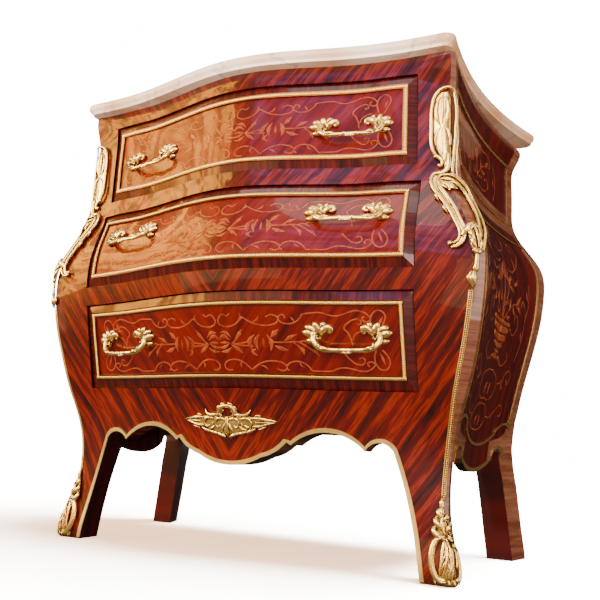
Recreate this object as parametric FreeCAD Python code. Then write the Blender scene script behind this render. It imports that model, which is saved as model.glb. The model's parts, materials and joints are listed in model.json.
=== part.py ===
import FreeCAD
import Part
import math
import os

# Bombe chest of drawers, in millimetres.  +Z is up and the front faces -Y.
# The origin is on the floor, under the middle of the chest's width and depth.
# One swelling form gives every outer face: plan sections are lofted from the floor to the
# underside of the stone, and each wooden piece is the part of that form that lies between its joints.

# Overall form
DEPTH = 530.0
CARCASS_TOP = 858.0

# Half widths of the form at the ends of its front and at its back corners, from the floor up
FOOT_FRONT_HALF = 376.0
WAIST_FRONT_HALF = 361.0
BELLY_FRONT_HALF = 419.0
NECK_FRONT_HALF = 374.0
CORNICE_FRONT_HALF = 378.0
FOOT_BACK_HALF = 431.0
WAIST_BACK_HALF = 408.0
BELLY_BACK_HALF = 479.0
NECK_BACK_HALF = 416.0
CORNICE_BACK_HALF = 426.0

# Heights at which those widths are reached
WAIST_Z = 118.0
BELLY_FRONT_Z = 496.0
BELLY_BACK_Z = 548.0
NECK_FRONT_Z = 660.0
NECK_BACK_Z = 690.0
FLARE_START_Z = 752.0

# How far the front comes forward of the feet beside its bow, and how far it bows beyond that
BELLY_FORWARD = 62.0
NECK_FORWARD = 33.0
BELLY_FORWARD_Z = 515.0
NECK_FORWARD_Z = 668.0
BOW_FOOT = 24.0
BOW_BELLY = 64.0
BOW_TOP = 52.0
BOW_SHARPNESS = 1.5
BOW_WAIST_HALF = 349.0
BOW_BELLY_HALF = 419.0
BOW_NECK_HALF = 348.0
BACK_SWELL_SHARPNESS = 1.45

# The posts turn back from the front, by most at the ankles and at the neck
POST_INNER_HALF = 280.0
ANKLE_TURN = 19.0
ANKLE_LOW_Z = 150.0
ANKLE_HIGH_Z = 190.0
ANKLE_END_Z = 300.0
NECK_TURN = 17.0
NECK_TURN_LOW_Z = 600.0
NECK_TURN_HIGH_Z = 780.0
NECK_TURN_END_Z = 880.0

# The front corners are canted: how far the cant runs along the front and along the side
CANT_LEG = 6.0
CANT_BODY = 16.0
CANT_CORNICE = 8.0
CANT_LEG_Z = 200.0
CANT_BODY_Z = 330.0
CANT_NECK_Z = 620.0
CANT_CORNICE_Z = 760.0

# The sides are hollow in plan and turn out to the back corners
SIDE_TURN_OUT = 2.0
SIDE_HOLLOW = 9.0
STATIONS = 19
FRONT_STEPS = 8
SIDE_STEPS = 4

# Stone top
STONE_FRONT_OVERHANG = 26.0
STONE_CORNER_OVERHANG = 13.0
STONE_EAR_OVERHANG = 40.0
STONE_BACK_OVERHANG = 3.0
STONE_CORNER_RADIUS = 16.0
# Edge of the stone, from its underside up: height and how far it lies behind the widest line
STONE_EDGE = [(0.0, 7.0), (4.4, 5.2), (9.2, 0.6), (13.2, 0.0), (18.5, 0.8), (22.0, 4.2)]

# Drawer openings, from the top: height of each opening's sill and head, and half its width
SILL_1 = 663.0
HEAD_1 = 826.0
SILL_2 = 476.0
HEAD_2 = 632.0
SILL_3 = 284.0
HEAD_3 = 441.0
OPENING_HALF_1 = 323.0
OPENING_HALF_2 = 331.0
OPENING_HALF_3 = 328.0
DRAWER_GAP = 1.2

# Posts, legs and panels
LEG_DEPTH = 48.0
REAR_POST = 48.0
SIDE_THICK = 14.0
RAIL_DEPTH = 42.0
BACK_PANEL_THICK = 8.0
BACK_REBATE = 4.0
BACK_RAIL_DEPTH = 22.0
BACK_RAIL_HEIGHT = 40.0
SUB_TOP_THICK = 12.0
BOTTOM_BOARD_THICK = 6.0

# Shaped lower edge of the front: half widths and heights of its turning points
APRON_LOW_Z = 155.0
APRON_LOBE_HALF = 62.0
APRON_LOBE_Z = 171.0
APRON_STEP_HALF = 107.0
APRON_SAG = 6.0
APRON_STEP_Z = 198.0
APRON_NICK_HALF = 114.0
APRON_NICK_Z = 193.0
APRON_ARCH_HALF = 181.0
APRON_ARCH_Z = 216.0
APRON_CUSP_HALF = 239.0
APRON_CUSP_Z = 189.0
APRON_END_ARCH_HALF = 268.0
APRON_END_ARCH_Z = 203.0
LEG_HIP_HALF = 286.0
LEG_HIP_Z = 190.0
LEG_SHIN_HALF = 310.0
LEG_SHIN_Z = 108.0
LEG_TOE_HALF = 330.0

# Shaped lower edge of the sides: heights of its turning points
SIDE_LOW_Z = 163.0
SIDE_ARCH_Z = 206.0
SIDE_KNEE_Z = 176.0
SIDE_CUSP_Z = 186.0
SIDE_CUSP_SPREAD = 92.0

# Drawer boxes and what carries them
FRONT_THICK = 26.0
FRONT_BEVEL = 5.0
FRONT_RIM = 12.0
BOX_SIDE_THICK = 12.0
BOX_BACK_THICK = 12.0
BOX_BOTTOM_THICK = 6.0
BOX_BOTTOM_RISE = 8.0
BOX_SIDE_GAP = 2.0
BOX_HEAD_GAP = 8.0
RUN_GAP = 0.3
RUNNER_HEIGHT = 18.0
RUNNER_WIDTH = 40.0
GUIDE_WIDTH = 6.0
GUIDE_HEIGHT = 26.0
KICKER_WIDTH = 30.0
STOP_DEPTH = 22.0
STOP_WIDTH = 34.0
STOP_HEIGHT = 26.0
STOP_SPREAD = 190.0

# Film of air between a gilt piece and the curved wood it lies on
SEAT_GAP = 0.3

# Gilt frames on the drawers, edging on the apron, fillets on the sides and beads on the corners
FRAME_INSET = 16.5
FRAME_WIDTH = 8.0
FRAME_PROUD = 3.0
EDGING_WIDTH = 7.0
EDGING_PROUD = 2.5
FILLET_WIDTH = 5.0
FILLET_PROUD = 2.0
FILLET_MARGIN = 10.0
FILLET_REAR_MARGIN = 30.0
SIDE_BAND_LOW_Z = 622.0
SIDE_BAND_HIGH_Z = 668.0
SIDE_APRON_BAND = 46.0
BEAD_SIZE = 6.0

# Pulls: two leaf plates joined by a bar that stands off the drawer
PULL_HALF_1 = 211.0
PULL_HALF_2 = 221.0
PULL_HALF_3 = 220.0
PULL_RISE_1 = 72.0
PULL_RISE_2 = 92.0
PULL_RISE_3 = 86.0
PULL_SPREAD = 46.0
PULL_STANDOFF = 22.0
PULL_DROP = 19.0
PULL_BAR_RADIUS = 3.6
PULL_BAR_CHAMFER = 2.0
PULL_KNOP_RADIUS = 5.0
PULL_KNOP_LENGTH = 12.0
LEAF_LENGTH = 27.0
LEAF_RISE = 4.0
LEAF_WIDTH = 13.0
LEAF_PROUD = 4.0
INNER_LEAF_LENGTH = 20.0
INNER_LEAF_RISE = 10.0
SHORT_LEAF_REACH = 8.5
LEAF_OVERLAP = 0.3
POST_RADIUS = 4.5
BOLT_RADIUS = 2.0
BOLT_CLEARANCE = 0.2
BOLT_HEAD_RADIUS = 5.5
BOLT_HEAD_THICK = 3.0
BOLT_SEAT_DEPTH = 16.0
BOLT_REACH = 10.0

# Chutes on the front shoulders
CHUTE_TOP_Z = 796.0
CHUTE_NECK_Z = 662.0
CHUTE_LOOP_Z = 520.0
CHUTE_TAIL_Z = 440.0
CHUTE_LEAF_WIDTH = 24.0
CHUTE_NECK_WIDTH = 9.0
CHUTE_STRAND_WIDTH = 12.0
CHUTE_TAIL_WIDTH = 6.0
CHUTE_PROUD = 7.0
CHUTE_ARM_PROUD = 5.0
CHUTE_ARM_REACH = 26.0
CHUTE_ARM_Z = 508.0
CHUTE_ARM_WIDTH = 8.0
CHUTE_ARM_TOP_Z = 648.0
CHUTE_LINK_Z = 522.0
CHUTE_CURL_RADIUS = 7.0
CORNER_WRAP = 4.0

# Sabots on the front feet
SABOT_LIFT = 3.0
SABOT_TIP_Z = 130.0
SABOT_BASE_WIDTH = 36.0
SABOT_TIP_WIDTH = 6.0
SABOT_PROUD = 3.5
SABOT_HOLE_LOW_Z = 13.0
SABOT_HOLE_LENGTH = 34.0
SABOT_HOLE_WIDTH = 11.0
SABOT_HOLE_INSET = 20.0
SABOT_HOLE_LEAN = 4.0

# Pierced mount on the apron
MOUNT_PROUD = 5.0
MOUNT_TIP_HALF = 90.0
MOUNT_TIP_Z = 230.0
MOUNT_DIP_HALF = 64.0
MOUNT_DIP_Z = 232.0
MOUNT_SPIKE_HALF = 44.5
MOUNT_SPIKE_Z = 244.0
MOUNT_SADDLE_HALF = 29.0
MOUNT_SADDLE_Z = 236.0
MOUNT_SHOULDER_HALF = 21.0
MOUNT_SHOULDER_Z = 243.5
MOUNT_CREST_Z = 254.0
MOUNT_LOW_Z = 202.0
MOUNT_BELLY_HALF = 45.0
MOUNT_BELLY_Z = 213.0
MOUNT_EYE_RADIUS = 6.0
MOUNT_EYE_Z = 240.5
MOUNT_SWEEP = 2.5

FRONT_Y = -DEPTH / 2 + FRAME_PROUD
BACK_Y = DEPTH / 2 - STONE_BACK_OVERHANG
FOOT_Y = FRONT_Y + BOW_BELLY + BELLY_FORWARD
LEG_BACK_Y = FOOT_Y + LEG_DEPTH
REAR_POST_Y = BACK_Y - REAR_POST
PANEL_Y = BACK_Y - BACK_REBATE - BACK_PANEL_THICK
BOX_BACK_Y = PANEL_Y - STOP_DEPTH - RUN_GAP
FAR = DEPTH * 2

UP = FreeCAD.Vector(0, 0, 1)
FRONT_REACH = FreeCAD.Vector(0, FOOT_Y + FAR / 2, 0)


def vec(x, y, z):
    return FreeCAD.Vector(x, y, z)


def ease(low, high, z):
    """Smooth rise from 0 at the low height to 1 at the high one."""
    part = min(max((z - low) / (high - low), 0.0), 1.0)
    return 0.5 - 0.5 * math.cos(math.pi * part)


def front_half(z):
    """Half width of the front."""
    half = FOOT_FRONT_HALF
    half += (WAIST_FRONT_HALF - FOOT_FRONT_HALF) * ease(0, WAIST_Z, z)
    half += (BELLY_FRONT_HALF - WAIST_FRONT_HALF) * ease(WAIST_Z, BELLY_FRONT_Z, z)
    half += (NECK_FRONT_HALF - BELLY_FRONT_HALF) * ease(BELLY_FRONT_Z, NECK_FRONT_Z, z)
    half += (CORNICE_FRONT_HALF - NECK_FRONT_HALF) * ease(FLARE_START_Z, CARCASS_TOP, z)
    return half


def back_half(z):
    """Half width of the form at its back corners."""
    half = FOOT_BACK_HALF
    half += (WAIST_BACK_HALF - FOOT_BACK_HALF) * ease(0, WAIST_Z, z)
    swell = ease(WAIST_Z, BELLY_BACK_Z, z) ** BACK_SWELL_SHARPNESS
    half += (BELLY_BACK_HALF - WAIST_BACK_HALF) * swell
    half += (NECK_BACK_HALF - BELLY_BACK_HALF) * ease(BELLY_BACK_Z, NECK_BACK_Z, z)
    half += (CORNICE_BACK_HALF - NECK_BACK_HALF) * ease(FLARE_START_Z, CARCASS_TOP, z)
    return half


def cant(z):
    """How far the cant of a front corner runs along the front and along the side."""
    width = CANT_LEG + (CANT_BODY - CANT_LEG) * ease(CANT_LEG_Z, CANT_BODY_Z, z)
    return width + (CANT_CORNICE - CANT_BODY) * ease(CANT_NECK_Z, CANT_CORNICE_Z, z)


def face_y(z):
    """Depth position of the front beside its bow."""
    swell = ease(WAIST_Z, BELLY_FORWARD_Z, z) ** BACK_SWELL_SHARPNESS
    settle = ease(BELLY_FORWARD_Z, NECK_FORWARD_Z, z)
    return FOOT_Y - BELLY_FORWARD * swell + (BELLY_FORWARD - NECK_FORWARD) * settle


def turn_back(z):
    """How far the ends of the front turn back from it."""
    ankle = ease(0, ANKLE_LOW_Z, z) - ease(ANKLE_HIGH_Z, ANKLE_END_Z, z)
    neck = ease(ANKLE_END_Z, NECK_TURN_LOW_Z, z) - ease(NECK_TURN_HIGH_Z, NECK_TURN_END_Z, z)
    return ANKLE_TURN * ankle + NECK_TURN * neck


def corner_y(z):
    """Depth position of the ends of the front."""
    return face_y(z) + turn_back(z)


def bow(z):
    """How far the middle of the front stands forward of its corners."""
    rise = ease(WAIST_Z, BELLY_FORWARD_Z, z)
    fall = ease(BELLY_FORWARD_Z, CARCASS_TOP, z)
    return BOW_FOOT + (BOW_BELLY - BOW_FOOT) * rise + (BOW_TOP - BOW_BELLY) * fall


def bow_share(across):
    """Share of the bow at a place across the front, from 1 in the middle to 0 at a corner."""
    return (0.5 + 0.5 * math.cos(math.pi * min(abs(across), 1.0))) ** BOW_SHARPNESS


def bow_half(z):
    """Half of the width over which the front bows."""
    half = BOW_WAIST_HALF + (BOW_BELLY_HALF - BOW_WAIST_HALF) * ease(WAIST_Z, BELLY_FRONT_Z, z)
    return half + (BOW_NECK_HALF - BOW_BELLY_HALF) * ease(BELLY_FRONT_Z, NECK_FRONT_Z, z)


def front_y(x, z):
    """Depth position of the front face."""
    end = ease(POST_INNER_HALF, front_half(z), abs(x))
    return face_y(z) - bow(z) * bow_share(x / bow_half(z)) + turn_back(z) * end


def curve(points):
    """Smooth curve through evenly spread points."""
    last = len(points) - 1
    line = Part.BSplineCurve()
    line.interpolate(Points=points, Parameters=[k / last for k in range(last + 1)])
    return line.toShape()


def plan_section(z, front_inset, side_inset, back_inset):
    """Closed outline of the form at one height, drawn in at its front, sides and back."""
    near = front_half(z)
    far = back_half(z) - side_inset
    front = []
    for step in range(-FRONT_STEPS, FRONT_STEPS + 1):
        x = near * step / FRONT_STEPS
        front.append(vec(x * (near - side_inset) / near, front_y(x, z) + front_inset, z))
    x_start = near + cant(z) - side_inset
    y_start = corner_y(z) + cant(z) + front_inset
    y_end = BACK_Y - back_inset
    right = []
    for step in range(SIDE_STEPS + 1):
        along = step / SIDE_STEPS
        x = x_start + (far - x_start) * along ** SIDE_TURN_OUT - SIDE_HOLLOW * math.sin(math.pi * along)
        right.append(vec(x, y_start + (y_end - y_start) * along, z))
    left = [vec(-p.x, p.y, p.z) for p in reversed(right)]
    return Part.Wire([
        curve(front),
        line_between(front[-1], right[0]),
        curve(right),
        line_between(right[-1], left[0]),
        curve(left),
        line_between(left[-1], front[0]),
    ])


def bombe_form(front_inset, side_inset, back_inset):
    """The swelling form, solid, drawn in at its front, sides and back."""
    heights = [CARCASS_TOP * k / (STATIONS - 1) for k in range(STATIONS)]
    sections = [plan_section(z, front_inset, side_inset, back_inset) for z in heights]
    return Part.makeLoft(sections, True, False)


def box(x0, x1, y0, y1, z0, z1):
    return Part.makeBox(x1 - x0, y1 - y0, z1 - z0, vec(x0, y0, z0))


def line_between(p, q):
    return Part.makeLine(p, q)


def arc_through(p, q, r):
    return Part.Arc(p, q, r).toShape()


def push(edges, direction):
    """Prism on a closed outline."""
    return Part.Face(Part.Wire(edges)).extrude(direction)


def polygon(points):
    return [line_between(p, q) for p, q in zip(points, points[1:] + points[:1])]


def mirrored(shape):
    return shape.mirror(vec(0, 0, 0), vec(1, 0, 0))


def moved(shape, x, y, z):
    copy = shape.copy()
    copy.translate(vec(x, y, z))
    return copy


def save(name, shape):
    solids = shape.Solids
    result = solids[0] if len(solids) == 1 else Part.makeCompound(solids)
    result.exportStep(os.path.join("parts", name + ".step"))


def on_front(prism, proud):
    """Thin piece that lies on the front face, as far as it stands proud, inside a prism."""
    return prism.common(moved(FORM, 0, -proud, 0)).cut(moved(FORM, 0, -SEAT_GAP, 0))


def on_side(prism, proud):
    """Thin piece that lies on the right side face, as far as it stands proud, inside a prism."""
    return prism.common(moved(FORM, proud, 0, 0)).cut(moved(FORM, SEAT_GAP, 0, 0))


def front_cutout(grow):
    """Open space below the apron and between the front legs, grown into the wood by an amount."""
    y = -FAR / 2
    slant = grow * math.sqrt(0.5)
    lobe = vec(APRON_LOBE_HALF, y, APRON_LOBE_Z + grow)
    step = vec(APRON_STEP_HALF - slant, y, APRON_STEP_Z + slant)
    nick = vec(APRON_NICK_HALF, y, APRON_NICK_Z + grow)
    cusp = vec(APRON_CUSP_HALF, y, APRON_CUSP_Z + grow)
    hip = vec(LEG_HIP_HALF + slant, y, LEG_HIP_Z + slant)
    toe = vec(LEG_TOE_HALF + grow, y, 0)
    hollow = vec((lobe.x + step.x + APRON_SAG) / 2, y, (lobe.z + step.z - APRON_SAG) / 2)
    arch = vec(APRON_ARCH_HALF, y, APRON_ARCH_Z + grow)
    end_arch = vec(APRON_END_ARCH_HALF, y, APRON_END_ARCH_Z + grow)
    shin = vec(LEG_SHIN_HALF + grow, y, LEG_SHIN_Z)
    half = [
        arc_through(lobe, hollow, step),
        line_between(step, nick),
        arc_through(nick, arch, cusp),
        arc_through(cusp, end_arch, hip),
        arc_through(hip, shin, toe),
    ]
    opposite = [mirrored(edge) for edge in half]
    low = vec(0, y, APRON_LOW_Z + grow)
    middle = arc_through(vec(-lobe.x, y, lobe.z), low, lobe)
    floor = line_between(vec(-toe.x, y, 0), toe)
    return push(Part.__sortEdges__(half + opposite + [middle, floor]), vec(0, FAR, 0))


def side_cutout(grow):
    """Open space below a side panel and between its legs, grown into the wood by an amount."""
    x = -FAR / 2
    middle_y = (LEG_BACK_Y + REAR_POST_Y) / 2
    low = vec(x, middle_y, SIDE_LOW_Z + grow)
    edges = []
    for sign, leg_y in ((-1, LEG_BACK_Y), (1, REAR_POST_Y)):
        toe = vec(x, leg_y + sign * grow, 0)
        knee = vec(x, leg_y + sign * grow, SIDE_KNEE_Z)
        cusp = vec(x, middle_y + sign * SIDE_CUSP_SPREAD, SIDE_CUSP_Z + grow)
        arch = vec(x, (knee.y + cusp.y) / 2, SIDE_ARCH_Z + grow)
        edges += [line_between(toe, knee), arc_through(knee, arch, cusp)]
    cusp_y = middle_y - SIDE_CUSP_SPREAD
    edges.append(arc_through(vec(x, cusp_y, cusp.z), low, cusp))
    edges.append(line_between(vec(x, REAR_POST_Y + grow, 0), vec(x, LEG_BACK_Y - grow, 0)))
    return push(Part.__sortEdges__(edges), vec(FAR, 0, 0))


os.makedirs("parts", exist_ok=True)

FORM = bombe_form(0, 0, 0)
SIDE_HOLLOW_FORM = bombe_form(0, SIDE_THICK, 0)
REAR_HOLLOW_FORM = bombe_form(0, REAR_POST, 0)
FRONT_HOLLOW_FORM = bombe_form(FRONT_THICK, 0, 0)
FRONT_SPACE = front_cutout(0)
SIDE_SPACE = side_cutout(0)

DRAWERS = [
    ("drawer_1", SILL_1, HEAD_1, OPENING_HALF_1, PULL_HALF_1, PULL_RISE_1),
    ("drawer_2", SILL_2, HEAD_2, OPENING_HALF_2, PULL_HALF_2, PULL_RISE_2),
    ("drawer_3", SILL_3, HEAD_3, OPENING_HALF_3, PULL_HALF_3, PULL_RISE_3),
]


def rail_back(z):
    """Back plane of a front rail whose middle is at this height."""
    return face_y(z) + RAIL_DEPTH


def make_posts():
    """Front posts with their legs, and rear posts with theirs."""
    front = FORM.common(box(LEG_HIP_HALF, FAR, -FAR, LEG_BACK_Y, 0, CARCASS_TOP))
    front = front.cut(FRONT_SPACE)
    front = front.cut(box(0, OPENING_HALF_1, -FAR, FAR, HEAD_2, CARCASS_TOP))
    front = front.cut(box(0, OPENING_HALF_2, -FAR, FAR, HEAD_3, HEAD_2))
    front = front.cut(box(0, OPENING_HALF_3, -FAR, FAR, SILL_3, HEAD_3))
    rear = FORM.cut(REAR_HOLLOW_FORM).common(box(0, FAR, REAR_POST_Y, BACK_Y, 0, CARCASS_TOP))
    save("front_right_post", front)
    save("front_left_post", mirrored(front))
    save("rear_right_post", rear)
    save("rear_left_post", mirrored(rear))


def make_rail(half, low, high):
    """Front rail between the posts, faced by the bowed form."""
    return FORM.common(box(-half, half, -FAR, rail_back((low + high) / 2), low, high))


def make_front_rails():
    save("frieze_rail", make_rail(OPENING_HALF_1, HEAD_1, CARCASS_TOP))
    save("upper_drawer_rail", make_rail(OPENING_HALF_1, HEAD_2, SILL_1))
    save("lower_drawer_rail", make_rail(OPENING_HALF_2, HEAD_3, SILL_2))
    apron = FORM.common(box(-LEG_HIP_HALF, LEG_HIP_HALF, -FAR, rail_back(SILL_3), 0, SILL_3))
    save("apron_rail", apron.cut(FRONT_SPACE))


def make_sides_and_back():
    side = FORM.cut(SIDE_HOLLOW_FORM).common(box(0, FAR, LEG_BACK_Y, REAR_POST_Y, 0, CARCASS_TOP))
    side = side.cut(SIDE_SPACE)
    save("right_side_panel", side)
    save("left_side_panel", mirrored(side))
    low = SILL_3 - RUNNER_HEIGHT - BOTTOM_BOARD_THICK - BACK_RAIL_HEIGHT
    panel = REAR_HOLLOW_FORM.common(box(-FAR, FAR, PANEL_Y, PANEL_Y + BACK_PANEL_THICK, low, CARCASS_TOP))
    save("back_panel", panel)
    rails = []
    for z in (low, CARCASS_TOP - BACK_RAIL_HEIGHT):
        space = box(-FAR, FAR, PANEL_Y - BACK_RAIL_DEPTH, PANEL_Y, z, z + BACK_RAIL_HEIGHT)
        rails.append(REAR_HOLLOW_FORM.common(space))
    save("back_rails", Part.makeCompound(rails))


def make_inner_boards():
    """Board under the stone, bottom board, runners, guides, kickers and stops."""
    board_z = CARCASS_TOP - SUB_TOP_THICK
    frieze_back = rail_back((HEAD_1 + CARCASS_TOP) / 2)
    rail_y = PANEL_Y - BACK_RAIL_DEPTH
    middle = box(-OPENING_HALF_1, OPENING_HALF_1, frieze_back, rail_y, board_z, CARCASS_TOP)
    wide = SIDE_HOLLOW_FORM.common(box(-FAR, FAR, LEG_BACK_Y, REAR_POST_Y, board_z, CARCASS_TOP))
    save("sub_top", wide.fuse(middle).removeSplitter())
    kicker = box(OPENING_HALF_1 - KICKER_WIDTH, OPENING_HALF_1, frieze_back, rail_y, HEAD_1, board_z)
    save("kickers", Part.makeCompound([kicker, mirrored(kicker)]))
    runners = []
    guides = []
    stops = []
    fronts = {SILL_1: rail_back((HEAD_2 + SILL_1) / 2), SILL_2: rail_back((HEAD_3 + SILL_2) / 2)}
    fronts[SILL_3] = LEG_BACK_Y
    for sill, head, half in [drawer[1:4] for drawer in DRAWERS]:
        low = sill - RUNNER_HEIGHT
        runner = box(half - RUNNER_WIDTH, half, fronts[sill], PANEL_Y, low, sill)
        ledge = box(half, half + GUIDE_WIDTH, LEG_BACK_Y, PANEL_Y, low, sill)
        runner = runner.fuse(ledge).removeSplitter()
        guide = box(half, half + GUIDE_WIDTH, LEG_BACK_Y, PANEL_Y, sill, sill + GUIDE_HEIGHT)
        stop_z = (sill + head - STOP_HEIGHT) / 2
        stop_x = STOP_SPREAD - STOP_WIDTH / 2
        stop = box(stop_x, stop_x + STOP_WIDTH, PANEL_Y - STOP_DEPTH, PANEL_Y, stop_z, stop_z + STOP_HEIGHT)
        runners += [runner, mirrored(runner)]
        guides += [guide, mirrored(guide)]
        stops += [stop, mirrored(stop)]
    save("drawer_runners", Part.makeCompound(runners))
    save("drawer_guides", Part.makeCompound(guides))
    save("drawer_stops", Part.makeCompound(stops))
    under = SILL_3 - RUNNER_HEIGHT
    half = OPENING_HALF_3 + GUIDE_WIDTH
    bottom = box(-half, half, LEG_BACK_Y, PANEL_Y, under - BOTTOM_BOARD_THICK, under)
    apron_back = rail_back(SILL_3)
    tongue = box(-LEG_HIP_HALF, LEG_HIP_HALF, apron_back, LEG_BACK_Y, under - BOTTOM_BOARD_THICK, under)
    save("bottom_board", bottom.fuse(tongue).removeSplitter())


def stone_outline(z, inset):
    """Outline of the stone at one height, with rounded corners, drawn in by an inset."""
    near = CORNICE_FRONT_HALF + STONE_CORNER_OVERHANG - inset
    far = CORNICE_BACK_HALF + STONE_EAR_OVERHANG - inset
    y_near = corner_y(CARCASS_TOP) - STONE_FRONT_OVERHANG + inset
    y_far = BACK_Y + STONE_BACK_OVERHANG
    radius = STONE_CORNER_RADIUS
    lean = radius * (1 - math.sqrt(0.5))
    front = []
    for step in range(-FRONT_STEPS, FRONT_STEPS + 1):
        x = (near - radius) * step / FRONT_STEPS
        front.append(vec(x, y_near - BOW_TOP * bow_share(x / near), z))
    right = []
    y_start = y_near + radius
    y_end = y_far - radius
    for step in range(SIDE_STEPS + 1):
        along = step / SIDE_STEPS
        x = near + (far - near) * along ** SIDE_TURN_OUT - SIDE_HOLLOW * math.sin(math.pi * along)
        right.append(vec(x, y_start + (y_end - y_start) * along, z))
    ear = vec(far - radius, y_far, z)
    left = [vec(-p.x, p.y, p.z) for p in reversed(right)]
    edges = [
        curve(front),
        arc_through(front[-1], vec(near - lean, y_near + lean, z), right[0]),
        curve(right),
        arc_through(right[-1], vec(far - lean, y_far - lean, z), ear),
        line_between(ear, vec(-ear.x, ear.y, z)),
        arc_through(vec(-ear.x, ear.y, z), vec(lean - far, y_far - lean, z), left[0]),
        curve(left),
        arc_through(left[-1], vec(lean - near, y_near + lean, z), front[0]),
    ]
    return Part.Wire(edges)


def make_stone():
    """Stone slab whose edge is a cove below a rounded nose."""
    sections = [stone_outline(CARCASS_TOP + rise, inset) for rise, inset in STONE_EDGE]
    save("stone_top", Part.makeLoft(sections, True, True))


def leaning(lean_x, lean_z, x, z):
    """The form sheared so that its front leans back on one side of a line across the front view."""
    shift = -lean_x * x - lean_z * z
    return FORM.transformGeometry(FreeCAD.Matrix(1, 0, 0, 0, lean_x, 1, lean_z, shift, 0, 0, 1, 0))


def bevelled(front, frame_half, frame_low, frame_high):
    """Drawer front whose border falls away from the gilt frame to the edges, mitred at the corners."""
    lean = FRONT_BEVEL / FRAME_INSET
    for side in (-1, 1):
        front = front.common(leaning(side * lean, 0, side * frame_half, 0))
    front = front.common(leaning(0, lean, 0, frame_high))
    return front.common(leaning(0, -lean, 0, frame_low))


def make_drawer(name, sill, head, half, pull_half, pull_rise):
    """Bowed front, box and gilt frame of one drawer, with its two pulls."""
    low = sill + DRAWER_GAP
    high = head - DRAWER_GAP
    plane_y = max(face_y(sill), face_y(head)) + FRONT_THICK
    outer_half = half - DRAWER_GAP
    side_outer = half - BOX_SIDE_GAP
    side_inner = side_outer - BOX_SIDE_THICK
    floor_low = sill + BOX_BOTTOM_RISE
    floor_top = floor_low + BOX_BOTTOM_THICK
    side_top = head - BOX_HEAD_GAP
    front = FORM.common(box(-outer_half, outer_half, -FAR, plane_y, low, high))
    recess = box(-side_inner, side_inner, -FAR, FAR, floor_top, head - FRONT_RIM)
    frame_half = half - FRAME_INSET
    frame_low = sill + FRAME_INSET
    frame_high = head - FRAME_INSET
    front = bevelled(front.cut(FRONT_HOLLOW_FORM.common(recess)), frame_half, frame_low, frame_high)
    side = box(side_inner, side_outer, plane_y, BOX_BACK_Y, sill + RUN_GAP, side_top)
    back = box(-side_inner, side_inner, BOX_BACK_Y - BOX_BACK_THICK, BOX_BACK_Y, floor_top, side_top)
    floor = box(-side_inner, side_inner, plane_y, BOX_BACK_Y, floor_low, floor_top)
    save(name + "_right_side", side)
    save(name + "_left_side", mirrored(side))
    save(name + "_back", back)
    save(name + "_bottom", floor)
    outer = box(-frame_half, frame_half, -FAR, 0, frame_low, frame_high)
    inner_half = frame_half - FRAME_WIDTH
    inner = box(-inner_half, inner_half, -FAR, 0, frame_low + FRAME_WIDTH, frame_high - FRAME_WIDTH)
    save(name + "_frame", on_front(outer.cut(inner), FRAME_PROUD))
    pull, bolts, holes = make_pull(pull_half, sill + pull_rise)
    save(name + "_right_pull", pull)
    save(name + "_left_pull", mirrored(pull))
    save(name + "_pull_bolts", Part.makeCompound(bolts + [mirrored(bolt) for bolt in bolts]))
    save(name + "_front", front.cut(holes + [mirrored(hole) for hole in holes]))


def leaf(root, tip, width):
    """Pointed leaf between two points of the front view, as a prism along Y."""
    axis = tip - root
    across = axis.cross(vec(0, 1, 0)).normalize() * (width / 2)
    middle = (root + tip) * 0.5
    edges = [arc_through(root, middle + across, tip), arc_through(tip, middle - across, root)]
    return push(edges, FRONT_REACH)


def make_bail(hang, along, rise, out):
    """Hanging bar of a pull: a straight run between two quarter turns, with its long edges taken off."""
    outline = []
    back = out * -PULL_BAR_RADIUS
    eighth = math.sqrt(0.5)
    for radius in (PULL_DROP + PULL_BAR_RADIUS, PULL_DROP - PULL_BAR_RADIUS):
        turns = []
        for sign in (-1, 1):
            centre = hang + back + along * (sign * (PULL_SPREAD - PULL_DROP))
            end = centre + along * (sign * radius)
            bend = centre + (along * sign - rise) * (radius * eighth)
            turns.append((end, bend, centre - rise * radius))
        (left_end, left_bend, left_low), (right_end, right_bend, right_low) = turns
        outline.append(arc_through(left_end, left_bend, left_low))
        outline.append(line_between(left_low, right_low))
        outline.append(arc_through(right_low, right_bend, right_end))
    for near, far in ((0, 3), (2, 5)):
        end = 0 if near == 0 else -1
        outline.append(line_between(outline[near].Vertexes[end].Point, outline[far].Vertexes[end].Point))
    bar = push(Part.__sortEdges__(outline), out * (2 * PULL_BAR_RADIUS))
    long_edges = [edge for edge in bar.Edges if edge.Length > 3 * PULL_BAR_RADIUS]
    return bar.makeChamfer(PULL_BAR_CHAMFER, long_edges)


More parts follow.
